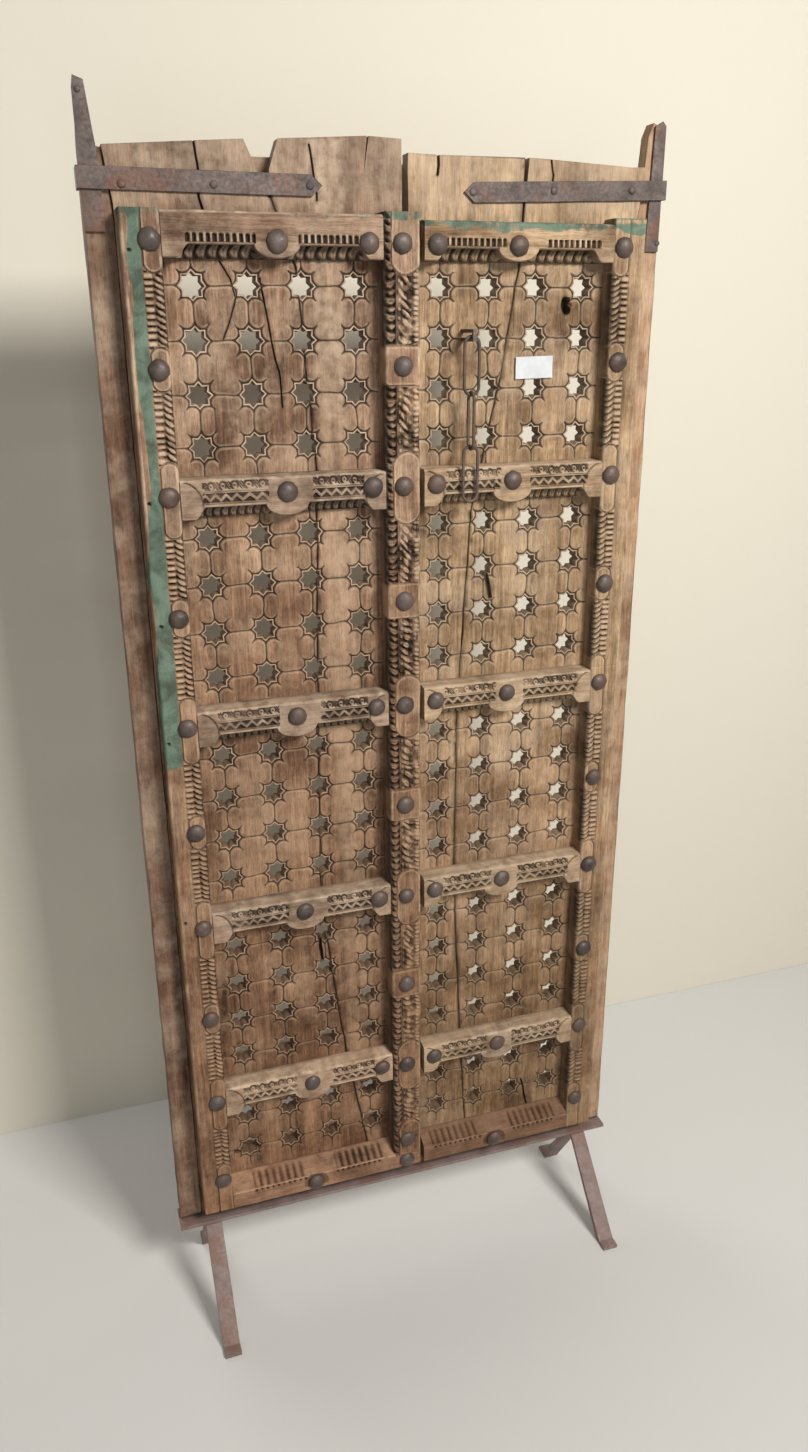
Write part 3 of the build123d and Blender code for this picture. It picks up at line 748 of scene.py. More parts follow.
def stile_relief(u, down):
    """Ribs and a row of leaves along the stile's inner side, broken by pads that carry the studs."""
    pad = pad_distance(u, down, STILE_PADS, BUDS_AT, STILE_PAD_R)
    carved = step(BAND_EDGE - 1.5, BAND_EDGE + 0.5, u)
    strip = carved * step(2.0, 4.0, pad)
    place = down + smooth_noise(u / 40, down / 26, 21) * 3.4
    rib = np.abs(np.cos(np.pi * place / TOOTH))
    comb = fall(0.12, 0.62, rib) * 5.6 + (1 - rib) * 1.2
    comb = comb * between(u, *COMB, 1.4)
    leaf = petal(u - LEAVES_AT, repeat(place, TOOTH, 0.5), 8.6, 3.5, 0.55)
    inner = petal(u - BUDS_AT, repeat(place, TOOTH), 3.0, 2.2, 0.0)
    leaves = (1 - np.maximum(leaf, inner * 0.8)) * step(44.5, 46.0, u) * 6.0
    ring = groove(0.5, 1.7, pad - 0.9) * carved * 3.4
    edge_line = groove(0.4, 1.4, u - BAND_EDGE) * (pad > 1) * 1.6
    worn = 0.95 + 0.5 * smooth_noise(u / 9, down / 15, 22)
    depth = deepest(np.maximum(comb, leaves) * strip * worn, ring, edge_line)
    # Darker the deeper the cut: painted shade, with grime.
    dirt_and_shade = unit(depth / 4.6) ** 1.3
    wear = strip * np.maximum((rib > 0.75) * between(u, 32, 42, 1.0), leaf * 0.8) * 0.6
    wear = np.maximum(wear, between(pad, -3.0, -1.2, 0.6) * (u > BAND_EDGE - 0.5) * 0.4)
    return depth, dirt_and_shade, wear


ASTRAGAL_PADS = ([(-30, 92)] + [(d - 30, d + 95) for d in RAILS_DOWN]
                 + [(FOOT_DOWN - 130, FOOT_DOWN + 30)])
# Across the astragal, from its outer edge: deep leaves, a twisted rope and beads, with a line between each
LEAF_PITCH = 27.0
ROPE_PITCH = 14.0
BEAD_PITCH = 9.0
ROPE_AT = 34.5
ROPE_LINES = (20.5, 47.5)
BEADS_AT = 54.5
ASTRAGAL_PAD_AT = 37.0
ASTRAGAL_PAD_R = 25.0
BOSS_AT = 31.5
BOSS_HALF = (25, 24)
BOSS_ROUND = 8


def astragal_relief(t, down):
    """Deep leaves, a twisted rope and a beaded edge between round pads and square bosses."""
    pad = pad_distance(t, down, ASTRAGAL_PADS, ASTRAGAL_PAD_AT, ASTRAGAL_PAD_R)
    boss = np.full(np.broadcast(t, down).shape, 1e3)
    for centre in PANELS_DOWN:
        aside = np.maximum(np.abs(t - BOSS_AT) - BOSS_HALF[0], 0)
        along = np.maximum(np.abs(down - centre) - BOSS_HALF[1], 0)
        boss = np.minimum(boss, np.hypot(aside, along) - BOSS_ROUND)
    solid = np.minimum(pad, boss) + smooth_noise(t / 15, down / 15, 33) * 1.2
    open_zone = step(1.0, 3.0, solid)
    place = down + smooth_noise(t / 24, down / 34, 31) * 5.5
    bow = 0.045 * (t - 12) ** 2
    big = petal(t - 10.0, repeat(place + bow, LEAF_PITCH), 9.5, 6.4, 0.0)
    small = petal(t - 12.0, repeat(place + bow, LEAF_PITCH, 0.5), 7.0, 4.4, 0.0)
    vein = groove(0.4, 1.3, repeat(place + bow, LEAF_PITCH))
    stem = np.maximum(big, small)
    leaves = (2.0 + (1 - stem) * 9.5 + stem * vein * 2.6) * fall(17.5, 20.0, t)
    lump = petal(t - ROPE_AT - 2.5 * np.sin(place / 11), repeat(place, ROPE_PITCH), 9.5, 4.6, 0.7)
    tuft = np.maximum(petal(t - 25.5, repeat(place, ROPE_PITCH, 0.42), 3.4, 3.4, 0.9),
                      petal(t - 43.5, repeat(place, ROPE_PITCH, 0.58), 3.4, 3.4, 0.9))
    split = groove(0.3, 1.1, repeat(place, ROPE_PITCH) - 0.8 * (t - ROPE_AT))
    rope = (1 - np.maximum(lump, tuft * 0.8) + 0.35 * split) * 5.0 * between(t, 21.5, 46.5, 1.2)
    bead = petal(t - BEADS_AT, repeat(place, BEAD_PITCH), 5.8, 3.8, 0.2)
    beads = (1 - bead) * 4.2 * step(47.0, 48.5, t)
    lines = deepest(*[groove(0.4, 1.4, t - at) for at in ROPE_LINES]) * 2.5
    worn = 1.0 + 0.75 * smooth_noise(t / 13, down / 19, 34) - 0.2 * step(30, 60, t)
    gouge = unit(smooth_noise(t / 7, down / 12, 35) - 0.25) * 7.0
    depth = np.maximum(leaves, deepest(rope, beads, lines) * worn + gouge) * open_zone
    depth = depth * (1 - 0.35 * step(700, 1500, down))
    depth = np.maximum(depth, groove(0.5, 1.9, solid - 0.8) * 3.2)
    # Darker the deeper the cut: painted shade, with grime.
    dirt_and_shade = unit(depth / 6.0) ** 1.2
    wear = open_zone * unit(1 - depth / 2.2) * 0.6
    wear = np.maximum(wear, between(solid, -3.5, -1.5, 0.8) * 0.4)
    return depth, dirt_and_shade, wear


def nail_pits(x, z, holes):
    pit = np.zeros(np.shape(x))
    for hx, hz in holes:
        pit = np.maximum(pit, fall(NAIL_PIT_R * 0.6, NAIL_PIT_R, np.hypot(x - hx, z - hz)))
    return pit


# The rounded edge of an upright: distances in from the side and, read backwards, how far back it falls
ARRIS = (0.0, 0.6, 2.4, 4.6)
UPRIGHT_ROW = 1.9
UPRIGHT_COLUMN = 1.7
NAIL_PIT_R = 3.4
NAIL_PIT_DEPTH = 9


def upright_bar(node, body, material, relief, flip=False, holes=(), paint=None):
    """A stile or the astragal, with relief(u, down) giving its front, and u from its outer edge."""
    x0, x1 = span(node, 0)
    z0, z1 = span(node, 2)
    front, back = span(node, 1)
    wide = x1 - x0
    zs = np.linspace(z1, z0, int((z1 - z0) / UPRIGHT_ROW) + 2)
    soft, flat = ARRIS[:-1], ARRIS[-1]
    across = np.concatenate([soft, np.linspace(flat, wide - flat, int((wide - 9) / UPRIGHT_COLUMN) + 1),
                             [wide - a for a in soft[::-1]]])
    inset = np.interp(across, ARRIS, ARRIS[::-1]) + np.interp(wide - across, ARRIS, ARRIS[::-1])
    u, zz = np.meshgrid(across, zs)
    x = x0 + u
    measure = wide - u if flip else u
    depth, dirt_and_shade, wear = relief(measure, FRAME_TOP - zz)
    pit = nail_pits(x, zz, holes)
    depth = np.maximum(depth, pit * NAIL_PIT_DEPTH)
    # Nail pits darkened: painted shade, with grime.
    dirt_and_shade = np.maximum(dirt_and_shade, pit)
    rough = 0.5 + 0.5 * smooth_noise(x / 21, zz / 45, 17)
    bruise = unit(smooth_noise(x / 13, zz / 13, 18) - 0.55) * 3.0
    edge_wear = (np.minimum(u, wide - u) < 5) * (0.35 + 0.4 * smooth_noise(x / 9, zz / 30, 19))
    ends = np.minimum(np.abs(zz - z0), np.abs(zz - z1))
    y = front + inset * (1 + 0.5 * smooth_noise(x / 5, zz / 18, 16)) + depth + rough * 0.8 + bruise
    y = np.where(ends < 1.0, np.maximum(y, front + 1.5), y)
    wear = np.maximum(wear, edge_wear)
    points = np.zeros((len(zs), len(across) + 2, 3))
    carve = np.zeros_like(points)
    points[:, 1:-1] = np.stack([x, y, zz], -1)
    for edge, place in ((0, x0), (-1, x1)):
        points[:, edge, 0] = place
        points[:, edge, 1] = back
        points[:, edge, 2] = zs
    carve[:, 1:-1, 0], carve[:, 1:-1, 1] = dirt_and_shade, wear
    swept(node, points, carve, body, material, paint)


# Rails

RAIL_COLUMN = 1.8
FACE_ROWS = 34
COVE_ROWS = 11
RAIL_ARC_R = 37.0
CURL_PITCH = 21.0
CURLS_AT = 13.0
ZIGZAG_PITCH = 19.0
ZIGZAG_AT = 32.8
ZIGZAG_HALF = 4.6
BOTTOM_COLUMN = 2.2
BOTTOM_FACE = 41.0
FLUTE_PITCH = 15.0
DENTIL_PITCH = 12.0
NICHE_R = 26
EDGE_ROWS = (1.0, 2.5, 4.0)


def rail_grid(xs, rows):
    """Corners and carve values of a rail, from its rows of y, z, grime and painted shade, and wear along
    xs.
    """
    data = np.array([[np.broadcast_to(value, xs.shape) for value in row] for row in rows], float)
    data = data.transpose(2, 0, 1)
    points = np.zeros((len(xs), len(rows), 3))
    points[..., 0] = xs[:, None]
    points[..., 1:] = data[..., :2]
    carve = np.zeros_like(points)
    carve[..., :2] = data[..., 2:]
    return points, carve


def lobe_share(x, x0, x1, roundel_x):
    """How far the rail's foot drops, 0 to 1, along its length."""
    from_end = np.minimum(x - x0, x1 - x)
    bracket = fall(22, 42, from_end)
    lobe = np.sqrt(unit(1 - ((x - roundel_x) / RAIL_ARC_R) ** 2))
    return np.maximum(bracket, lobe)


def end_arcs(x, v, x0, x1, height):
    """An incised quarter round on the bracket at each end of a rail."""
    radius = np.hypot(np.minimum(x - x0, x1 - x), (height - v) * 0.85)
    return groove(0.5, 1.6, radius - RAIL_ARC_R) * 2.6


def middle_rail_relief(x, v, bands, height, seed):
    """Worn curls cut into the upper band and a zigzag of small pits in the lower one."""
    zone = sum(between(x, a, b, 1.2) for a, b in bands)
    place = x + smooth_noise(x / 37, 0, seed) * 4.0
    curl_x = repeat(place, CURL_PITCH)
    curl_v = v - CURLS_AT + smooth_noise(place / CURL_PITCH, 0, seed + 1) * 1.5
    ring = np.hypot(curl_x + 3.5, curl_v * 0.9)
    cuts = fall(0.9, 2.3, np.abs(ring - 6.0) + 2.0 * step(2.0, 6.0, curl_v))
    cuts = np.maximum(cuts, fall(1.0, 2.2, ring))
    for slope, shift in ((0.9, 4.5), (1.1, 8.2), (0.9, 11.6)):
        stroke = np.abs(repeat(place - shift - slope * curl_v * 0.7, CURL_PITCH))
        cuts = np.maximum(cuts, fall(0.6, 1.7, stroke) * between(curl_v, -6.5, 6.0, 1.0))
    scroll = (cuts * 4.2 + 0.4) * between(v, 4.5, 20.5, 0.8)
    wave = np.abs(2 * ((place / ZIGZAG_PITCH) % 1) - 1)
    zigzag = ZIGZAG_AT + ZIGZAG_HALF * (2 * wave - 1)
    pits = step(2.2, 4.2, np.abs(v - zigzag)) * between(v, 25.6, 40.0, 1.0) * 5.2
    nicks = groove(0.4, 1.2, v - zigzag) * 1.6 * between(v, 26.0, 39.5, 1.0)
    lines = np.maximum(between(v, 22.3, 23.0, 1.0), between(v, 42.2, 42.8, 0.8)) * 2.4
    worn = 0.8 + 0.4 * smooth_noise(x / 28, v / 20, seed + 7)
    depth = deepest(scroll, pits, lines, nicks) * zone * worn
    # Darker the deeper the cut: painted shade, with grime.
    dirt_and_shade = unit(depth / 3.6) ** 1.2
    wear = (0.35 + 0.65 * zone) * unit(1 - depth / 2.4) * (1.1 - v / height * 0.5)
    return depth, dirt_and_shade, wear


def top_rail_relief(x, v, bands, height, seed):
    """A row of slots along the foot of the face. It draws nothing from the seed."""
    zone = sum(between(x, a, b, 2.0) for a, b in bands)
    comb_top, comb_foot = height - 15.0, height - 3.5
    phase = (x / TOOTH) % 1
    reach = comb_top + 2.5 + 5.0 * np.abs(phase - 0.5)
    slot = step(0.16, 0.3, phase) * fall(0.7, 0.84, phase) * between(v, comb_top, comb_foot, 1.0)
    points = unit(1 - np.abs(v - comb_top) / 3.0) * step(0.3, 0.5, np.abs(phase - 0.5) + 0.2)
    lines = between(v, comb_foot + 0.3, comb_foot + 0.9, 0.8) * 2.0
    depth = np.maximum(slot * 6.5 * step(reach - 2, reach, v + 3), lines) * zone
    # Darker the deeper the cut: painted shade, with grime.
    dirt_and_shade = unit(depth / 5.5)
    wear = zone * np.maximum(points, between(v, comb_top, comb_foot + 3, 1.0)) * (depth < 1.5) * 0.7
    return depth, dirt_and_shade, wear


def carved_rail(node, side, bands, relief, leaf_pitch, seed, paint=None):
    """A rail with a rounded top edge, a carved face, a bracketed foot and a cove of leaves below."""
    x0, x1 = span(node, 0)
    drop, top = span(node, 2)
    height = top - drop - RAIL_DROP
    full = top - drop
    cove = FRAME_FRONT + COVE_BACK
    xs = np.linspace(x0, x1, int((x1 - x0) / RAIL_COLUMN) + 1)
    lobe = lobe_share(xs, x0, x1, ROUNDEL_X[side])
    ends = height + RAIL_DROP * lobe
    chips = smooth_noise(xs / 17, 0, seed + 50) + smooth_noise(xs / 5, 0, seed + 51) * 0.5

    # The third value of each row darkens it: painted shade at the joins and in the cuts, with grime.
    rows = [(PLANK_FRONT, 0.0, 0.3, 0.2)]
    for y, v in ((18.0, 0.3), (6.0, 0.5), (-3.0, 1.0)):
        rows.append((y, v + 0.8 * (1 + smooth_noise(xs / 23, y, seed)), 0.0, 0.75))
    rows.append((FRAME_FRONT + 5.0 + chips, 1.8 + np.clip(chips, 0, 2), 0.0, 0.95))
    rows.append((FRAME_FRONT + 2.0 + chips, 4.2, 0.0, 0.9))
    for t in np.linspace(0, 1, FACE_ROWS):
        v = 6.2 + (ends - 7.7) * t
        depth, dirt_and_shade, wear = relief(xs, v, bands, height, seed)
        arcs = end_arcs(xs, v, x0, x1, height) * (relief is middle_rail_relief)
        depth, dirt_and_shade = np.maximum(depth, arcs), np.maximum(dirt_and_shade, arcs / 3)
        rough = 0.5 + 0.5 * smooth_noise(xs / 19, v / 9, seed + 3)
        wear = np.maximum(wear, 0.3 * (v > height - 4))
        rows.append((FRAME_FRONT + depth + rough * 0.9, v, dirt_and_shade, wear))
    rows += [(FRAME_FRONT + 2.2, ends - 0.3, 0.0, 0.75), (FRAME_FRONT + 7.0, ends, 0.3, 0.2)]
    open_foot = 1 - lobe
    for t in np.linspace(0, 1, COVE_ROWS):
        v = ends + (full - ends) * t
        bent = xs + 6.0 * math.sin(2.6 * t) + 2.0 * smooth_noise(xs / 31, 0, seed + 4)
        leaf = petal(repeat(bent, leaf_pitch), (t - 0.35) * RAIL_DROP, leaf_pitch * 0.46, 13.5, 0.0)
        vein = groove(0.4, 1.3, repeat(bent, leaf_pitch))
        y = cove + ((1 - leaf) * 9.0 + leaf * vein * 2.0 + (t - 0.3) ** 2 * 5.0) * open_foot
        # The cove under the rail darkened, except on its leaves: painted shade.
        dirt_and_shade = 0.9 - 0.75 * leaf * (1 - vein * 0.5)
        rows.append((np.minimum(y, PLANK_FRONT - 3), v, dirt_and_shade, 0.35 * leaf))
    rows.append((PLANK_FRONT, full, 0.6, 0.0))

    points, carve = rail_grid(xs, rows)
    points[..., 2] = top - np.clip(points[..., 2], 0, full)
    carve[..., 1] *= 0.8 + 0.5 * smooth_noise(points[..., 0] / 15, points[..., 2] / 9, seed)
    swept(node, points, carve, side + "_leaf", TIMBER[side][1], paint)


def bottom_rail(node, side, material, bands, seed):
    """Sloping top with gadroons, a row of dentils and an arch round the middle stud."""
    x0, x1 = span(node, 0)
    foot, top = span(node, 2)
    front_top = foot + BOTTOM_FACE
    xs = np.linspace(x0, x1, int((x1 - x0) / BOTTOM_COLUMN) + 1)
    zone = sum(between(xs, a, b, 2.0) for a, b in bands)
    flute = np.abs(np.sin(np.pi * xs / FLUTE_PITCH)) ** 0.6
    # The third value of each row darkens it: painted shade in the slots, dentils and niche and at the joins
    # with the plank, with grime.
    rows = [(PLANK_FRONT, top, 0.3, 0.0)]
    for t in np.linspace(0.06, 1, 12):
        y = PLANK_FRONT + (FRAME_FRONT - PLANK_FRONT) * t
        z = top + (front_top - top) * t
        cut = zone * (1 - flute) * 4.5 * between(t, 0.2, 0.92, 0.08)
        sink = cut + 0.6 + 0.5 * smooth_noise(xs / 17, t * 3, seed)
        rows.append((y, z - sink, 0.7 * unit(cut / 4), 0.4 * (1 - unit(cut / 2))))
    arch = np.abs(xs - ROUNDEL_X[side])
    for v in np.concatenate([EDGE_ROWS, np.linspace(6, BOTTOM_FACE - 1.5, 15)]):
        tooth = (xs / DENTIL_PITCH) % 1
        dentil = step(0.3, 0.42, tooth) * fall(0.62, 0.74, tooth) * between(v, 5, 12, 0.8) * zone * 4.0
        r = np.hypot(arch, v - NICHE_R)
        niche = fall(NICHE_R, NICHE_R + 1.5, r) * (v < 34) * 2.2
        line = between(v, 14.4, 15.2, 0.8) * zone * 1.6
        depth = deepest(dentil, niche, line)
        rough = 0.5 + 0.5 * smooth_noise(xs / 19, v / 9, seed + 3)
        edge = np.interp(v, EDGE_ROWS, (2.6, 1.0, 0.0))
        rows.append((FRAME_FRONT + depth + rough * 0.8 + edge, front_top - v, unit(depth / 4),
                     0.8 if v < 5 else 0.15))
    rows += [(FRAME_FRONT + 2.0, foot + 0.2, 0.2, 0.4), (PLANK_FRONT, foot, 0.4, 0.0)]
    points, carve = rail_grid(xs, rows)
    swept(node, points, carve, side + "_leaf", material)


# Studs

def stud_centres(node):
    """Middle and seat of each nail head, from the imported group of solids."""
    work = solid_mesh(node)
    seen, centres = set(), []
    for start in work.verts:
        if start in seen:
            continue
        group, queue = [], [start]
        seen.add(start)
        while queue:
            vert = queue.pop()
            group.append(vert.co / MM)
            for edge in vert.link_edges:
                other = edge.other_vert(vert)
                if other not in seen:
                    seen.add(other)
                    queue.append(other)
        lows = [min(p[i] for p in group) for i in range(3)]
        highs = [max(p[i] for p in group) for i in range(3)]
        centres.append(((lows[0] + highs[0]) / 2, highs[1], (lows[2] + highs[2]) / 2))
    work.free()
    return sorted(centres, key=lambda c: (-round(c[2]), c[0]))


def nail_heads(name, centres, body, material, radius, height, replaced=(), sides=18, seed=5):
    """Forged round heads: uneven domes with hammered facets and a thin rim darkened where they meet the
    wood, painted shade with grime.
    """
    draw = random.Random(seed)
    rings = ((1.0, 0.0), (1.0, 0.12), (0.93, 0.34), (0.78, 0.62), (0.55, 0.84), (0.28, 0.97))
    around = np.pad(corner_grid(len(rings), sides), ((0, 0), (0, 1)), "wrap")
    walls = grid_faces(around)[:, [0, 3, 2, 1]]
    verts, faces, carve = [], [], []
    for cx, cy, cz in centres:
        base = len(verts)
        size = radius * draw.uniform(0.92, 1.0)
        tall = height * draw.uniform(0.8, 0.98)
        lean = (draw.uniform(-1.5, 1.5), draw.uniform(-1.5, 1.5))
        lumps = [draw.uniform(-0.07, 0.0) for i in range(sides)]
        for share, rise in rings:
            for i in range(sides):
                angle = 2 * math.pi * i / sides
                facet = 1 + lumps[i] * (1 if share > 0.5 else 0.4)
                r = size * share * facet
                flat = rise * (1 + lumps[(i * 7) % sides] * 0.8)
                verts.append((cx + r * math.cos(angle) + lean[0] * rise, cy - tall * flat,
                              cz + r * math.sin(angle) + lean[1] * rise))
                # The bottom ring darkened where the head meets the wood: painted shade, with grime.
                carve.append((0.9 if rise == 0 else 0.0, 0.0, 0.0))
        faces += (base + walls).tolist()
        verts.append((cx + lean[0], cy - tall, cz + lean[1]))
        carve.append((0.0, 0.0, 0.0))
        tip = len(verts) - 1
        last = base + (len(rings) - 1) * sides
        faces += [(last + i, tip, last + (i + 1) % sides) for i in range(sides)]
        faces.append([base + i for i in range(sides)])
    add_piece(name, verts, faces, body, material, replaced, carve)


# Plain weathered pieces keep the solid's own form, with softened and uneven edges

FLAT_ANGLE = 0.02
BEVEL_ANGLE = 0.35


def weathered(node, body, material, cell=24.0, bevel=2.0, rough=0.8, seed=0, axis=2):
    work = solid_mesh(node)
    bmesh.ops.dissolve_limit(work, angle_limit=FLAT_ANGLE, verts=work.verts, edges=work.edges)
    sharp = [e for e in work.edges if len(e.link_faces) == 2 and e.calc_face_angle(0.0) > BEVEL_ANGLE]
    bmesh.ops.bevel(work, geom=sharp, offset=bevel * MM, segments=2, affect="EDGES", profile=0.6,
                    clamp_overlap=True)
    start = min(v.co[axis] for v in work.verts)
    end = max(v.co[axis] for v in work.verts)
    normal = Vector([1.0 if i == axis else 0.0 for i in range(3)])
    count = int((end - start) / (cell * MM))
    for i in range(1, count):
        place = normal * (start + (end - start) * i / count)
        bmesh.ops.bisect_plane(work, geom=work.verts[:] + work.edges[:] + work.faces[:],
                               plane_co=place, plane_no=normal)
    bmesh.ops.triangulate(work, faces=[f for f in work.faces if len(f.verts) > 4])
    work.normal_update()
    moved = [(v, v.normal.copy()) for v in work.verts]
    for vert, out in moved:
        p = vert.co / MM
        amount = smooth_noise(p.x / 19 + p.y / 23, p.z / 37 + p.x / 41, seed)
        vert.co -= out * float(0.5 + 0.5 * amount) * rough * MM
    verts = np.array([tuple(v.co / MM) for v in work.verts])
    faces = [[v.index for v in f.verts] for f in work.faces]
    carve = np.zeros_like(verts)
    carve[:, 1] = unit(0.15 + 0.3 * smooth_noise(verts[:, 0] / 12, verts[:, 2] / 25, seed + 1))
    work.free()
    add_piece("worn_" + node, verts, faces, body, material, [node], carve)


# Chain links of round wire, and the blank paper label

LINK_ARC = 12
LINK_SIDES = 10


def round_link(node, turned):
    """A long oval link of round forged wire, filling the box of its solid."""
    across = 1 if turned else 0
    spans = [span(node, i) for i in range(3)]
    middle = [(a + b) / 2 for a, b in spans]
    half = [(b - a) / 2 for a, b in spans]
    wire = half[1 - across]
    half_long, half_wide = half[2] - wire, half[across] - wire
    straight = half_long - half_wide
    path = []
    for end, way in ((0, 1), (1, -1)):
        for i in range(LINK_ARC + 1):
            angle = math.pi * (i / LINK_ARC + end)
            path.append((half_wide * math.cos(angle), straight * way + half_wide * math.sin(angle)))
        path += [(-way * half_wide, straight * way * (1 - i / 3)) for i in range(1, 6)]
    sides, count = LINK_SIDES, len(path)
    points = np.zeros((count, sides, 3))
    for k, (a, b) in enumerate(path):
        before, after = path[k - 1], path[(k + 1) % count]
        out = Vector((after[1] - before[1], before[0] - after[0])).normalized()
        for j in range(sides):
            turn = 2 * math.pi * j / sides
            swell = wire * (0.93 + 0.06 * float(smooth_noise(k / 3, j / 3, 88)))
            flat, deep = swell * math.cos(turn), swell * math.sin(turn)
            spot = [middle[0], middle[1], middle[2] + b + out[1] * flat]
            spot[across] += a + out[0] * flat
            spot[1 - across] += deep
            points[k, j] = spot
    around = np.pad(corner_grid(count, sides), ((0, 1), (0, 1)), "wrap")
    add_piece("round_" + node, points.reshape(-1, 3), grid_faces(around).tolist(), node, CHAIN_IRON, [node])


def paper_tag(centre, wide, tall):
    """A blank paper label pasted over the carving, its corners lifting a little."""
    columns, rows, thick = 13, 8, 0.4
    verts = []
    for skin in (0, 1):
        for j in range(rows):
            for i in range(columns):
                u, v = i / (columns - 1) - 0.5, j / (rows - 1) - 0.5
                lift = 1.0 + 3.0 * (abs(u) * 2) ** 3 * (0.4 + abs(v)) + 0.5 * math.sin(9 * u + 4 * v)
                verts.append((centre[0] + u * wide, PLANK_FRONT - lift - (thick if skin == 0 else 0.0),
                              centre[1] + v * tall + 1.5 * u))
    count = rows * columns
    index = corner_grid(rows, columns)
    grid = grid_faces(index)
    faces = grid.tolist() + (grid[:, ::-1] + count).tolist()
    rim = [*index[0], *index[1:, -1], *index[-1, -2::-1], *index[-2:0:-1, 0]]
    faces += [(rim[k - 1], rim[k], rim[k] + count, rim[k - 1] + count) for k in range(len(rim))]
    material, tree, shader = new_material("label_paper")
    crease = noise_at(tree, mapped(tree), 60.0, 4.0, 0.6)
    colour = ramp(tree, crease, [(0.3, (0.5, 0.515, 0.53)), (0.65, (0.57, 0.59, 0.61))])
    tree.links.new(colour, shader.inputs["Base Color"])
    shader.inputs["Roughness"].default_value = 0.6
    add_piece("paper_label", verts, faces, "right_leaf", material)


# Build the leaves

def band(*pairs):
    """Bands given as distances from the frame's left edge."""
    return [(FRAME_LEFT + a, FRAME_LEFT + b) for a, b in pairs]


def left_paint(x, z):
    """Green paint left on the left stile's outer band and in traces along the top."""
    down, u = FRAME_TOP - z, x - FRAME_LEFT
    bare = 12 * fall(430, 560, down) + smooth_noise(0, z / 50, 41) * 6
    outer = step(bare - 4, bare, u) * fall(28, 33, u) * fall(900, 960, down) * 1.12
    top = fall(8, 22, down) * 0.75
    return np.clip(np.maximum(outer, top), 0, 1.2)


def right_paint(x, z):
    down = FRAME_TOP - z
    patch = 0.97 + 0.25 * smooth_noise(x / 48, z / 9, 47)
    return unit(fall(16, 36, down + 6 * smooth_noise(x / 22, 0, 48)) * patch)


def frame_points(*pairs):
    """Places on the frame, given from its top left corner."""
    return [(FRAME_LEFT + across, FRAME_TOP + up) for across, up in pairs]


def crack(width, depth, *pairs):
    return frame_points(*pairs), width, depth


LEFT_CRACKS = [
    crack(1.5, 5.0, (221, -98), (235, -193), (247, -254), (249, -300)),
    crack(1.2, 4.0, (157, -72), (172, -98), (180, -129), (156, -192)),
    crack(2.2, 8.0, (127, 98), (131, 60), (129, 20), (135, 0)),
    crack(5.0, 12.0, (78, -1832), (104, -1838), (130, -1834)),
    crack(5.0, 12.0, (278, -1286), (281, -1340), (284, -1404)),
]
INNER_CRACKS = [crack(1.6, 5.0, (310, 100), (316, 60), (322, 20))]
RIGHT_CRACKS = [
    crack(2.6, 9.0, (745, -1812), (752, -1850), (760, -1885)),
    crack(3.0, 10.0, (530, 95), (531, 80), (530, 65)),
    crack(7.0, 9.0, (622, -588), (631, -615), (640, -662)),
    crack(1.8, 6.0, (738, 92), (742, 70), (739, 50)),
]
OUTER_RIGHT_CRACKS = [crack(16.0, 24.0, (776, -132), (775, -140), (778, -147))] + RIGHT_CRACKS

carved_plank("left_outer_plank", "left_leaf", LEFT_Z, LEFT_STARS_X, LEFT_CRACKS)
carved_plank("left_inner_plank", "left_leaf", LEFT_Z, LEFT_STARS_X, LEFT_CRACKS + INNER_CRACKS,
             (-142.0, -98.0))
carved_plank("right_inner_plank", "right_leaf", RIGHT_Z, RIGHT_STARS_X, RIGHT_CRACKS)
carved_plank("right_outer_plank", "right_leaf", RIGHT_Z, RIGHT_STARS_X, OUTER_RIGHT_CRACKS)

STILE_HOLES = frame_points((10, -447), (12, -657), (8, -873), (12, -60), (10, -1240))
upright_bar("left_stile", "left_leaf", LEFT_Z, stile_relief, holes=STILE_HOLES, paint=left_paint)
upright_bar("left_stile_foot", "left_leaf", LEFT_Z, stile_relief)
upright_bar("right_upper_stile", "right_leaf", RIGHT_Z, stile_relief, flip=True, paint=right_paint)
upright_bar("right_lower_stile", "right_leaf", RIGHT_Z, stile_relief, flip=True)
upright_bar("astragal", "left_leaf", LEFT_Z, astragal_relief, paint=left_paint)

RAIL_BANDS = {"left": band((100, 210), (290, 380)), "right": band((535, 640), (700, 815))}
for i in range(1, MID_RAILS + 1):
    for side, seed in (("left", 60), ("right", 70)):
        carved_rail(f"{side}_rail_{i}", side, RAIL_BANDS[side], middle_rail_relief, 14.0, seed + i)
carved_rail("left_top_rail", "left", band((100, 208), (280, 385)), top_rail_relief, 18.0, 81, left_paint)
carved_rail("right_top_rail", "right", band((535, 640), (718, 820)), top_rail_relief, 18.0, 82, right_paint)
bottom_rail("left_bottom_rail", "left", LEFT_SILL, band((110, 222), (292, 395)), 91)
bottom_rail("right_bottom_rail", "right", RIGHT_SILL, band((515, 630), (705, 815)), 92)

for side, seed in (("left", 5), ("right", 9)):
    nail_heads(side + "_nail_heads", stud_centres(side + "_studs"), side + "_leaf", STUD_IRON, 19.0, 12.0,
               [side + "_studs"], seed=seed)

STRAP_FRONT = low("left_strap", 1)
STRAP_NAILS = {
    "left": frame_points((12, 35), (154, 38), (309, 41)),
    "right": frame_points((592, 40), (742, 45), (893, 50)),
}
for side, places in STRAP_NAILS.items():
    nail_heads(side + "_strap_nails", [(x, STRAP_FRONT, z) for x, z in places], side + "_leaf",
               STRAP_IRON, 7.5, 3.2, sides=12, seed=12)

for side, place in (("left", (-40, 161)), ("right", (953, -34))):
    front = low(side + "_pole_iron", 1)
    nail_heads(side + "_iron_nail", [(x, front, z) for x, z in frame_points(place)], side + "_leaf",
               STRAP_IRON, 5.0, 2.6, sides=12, seed=15)

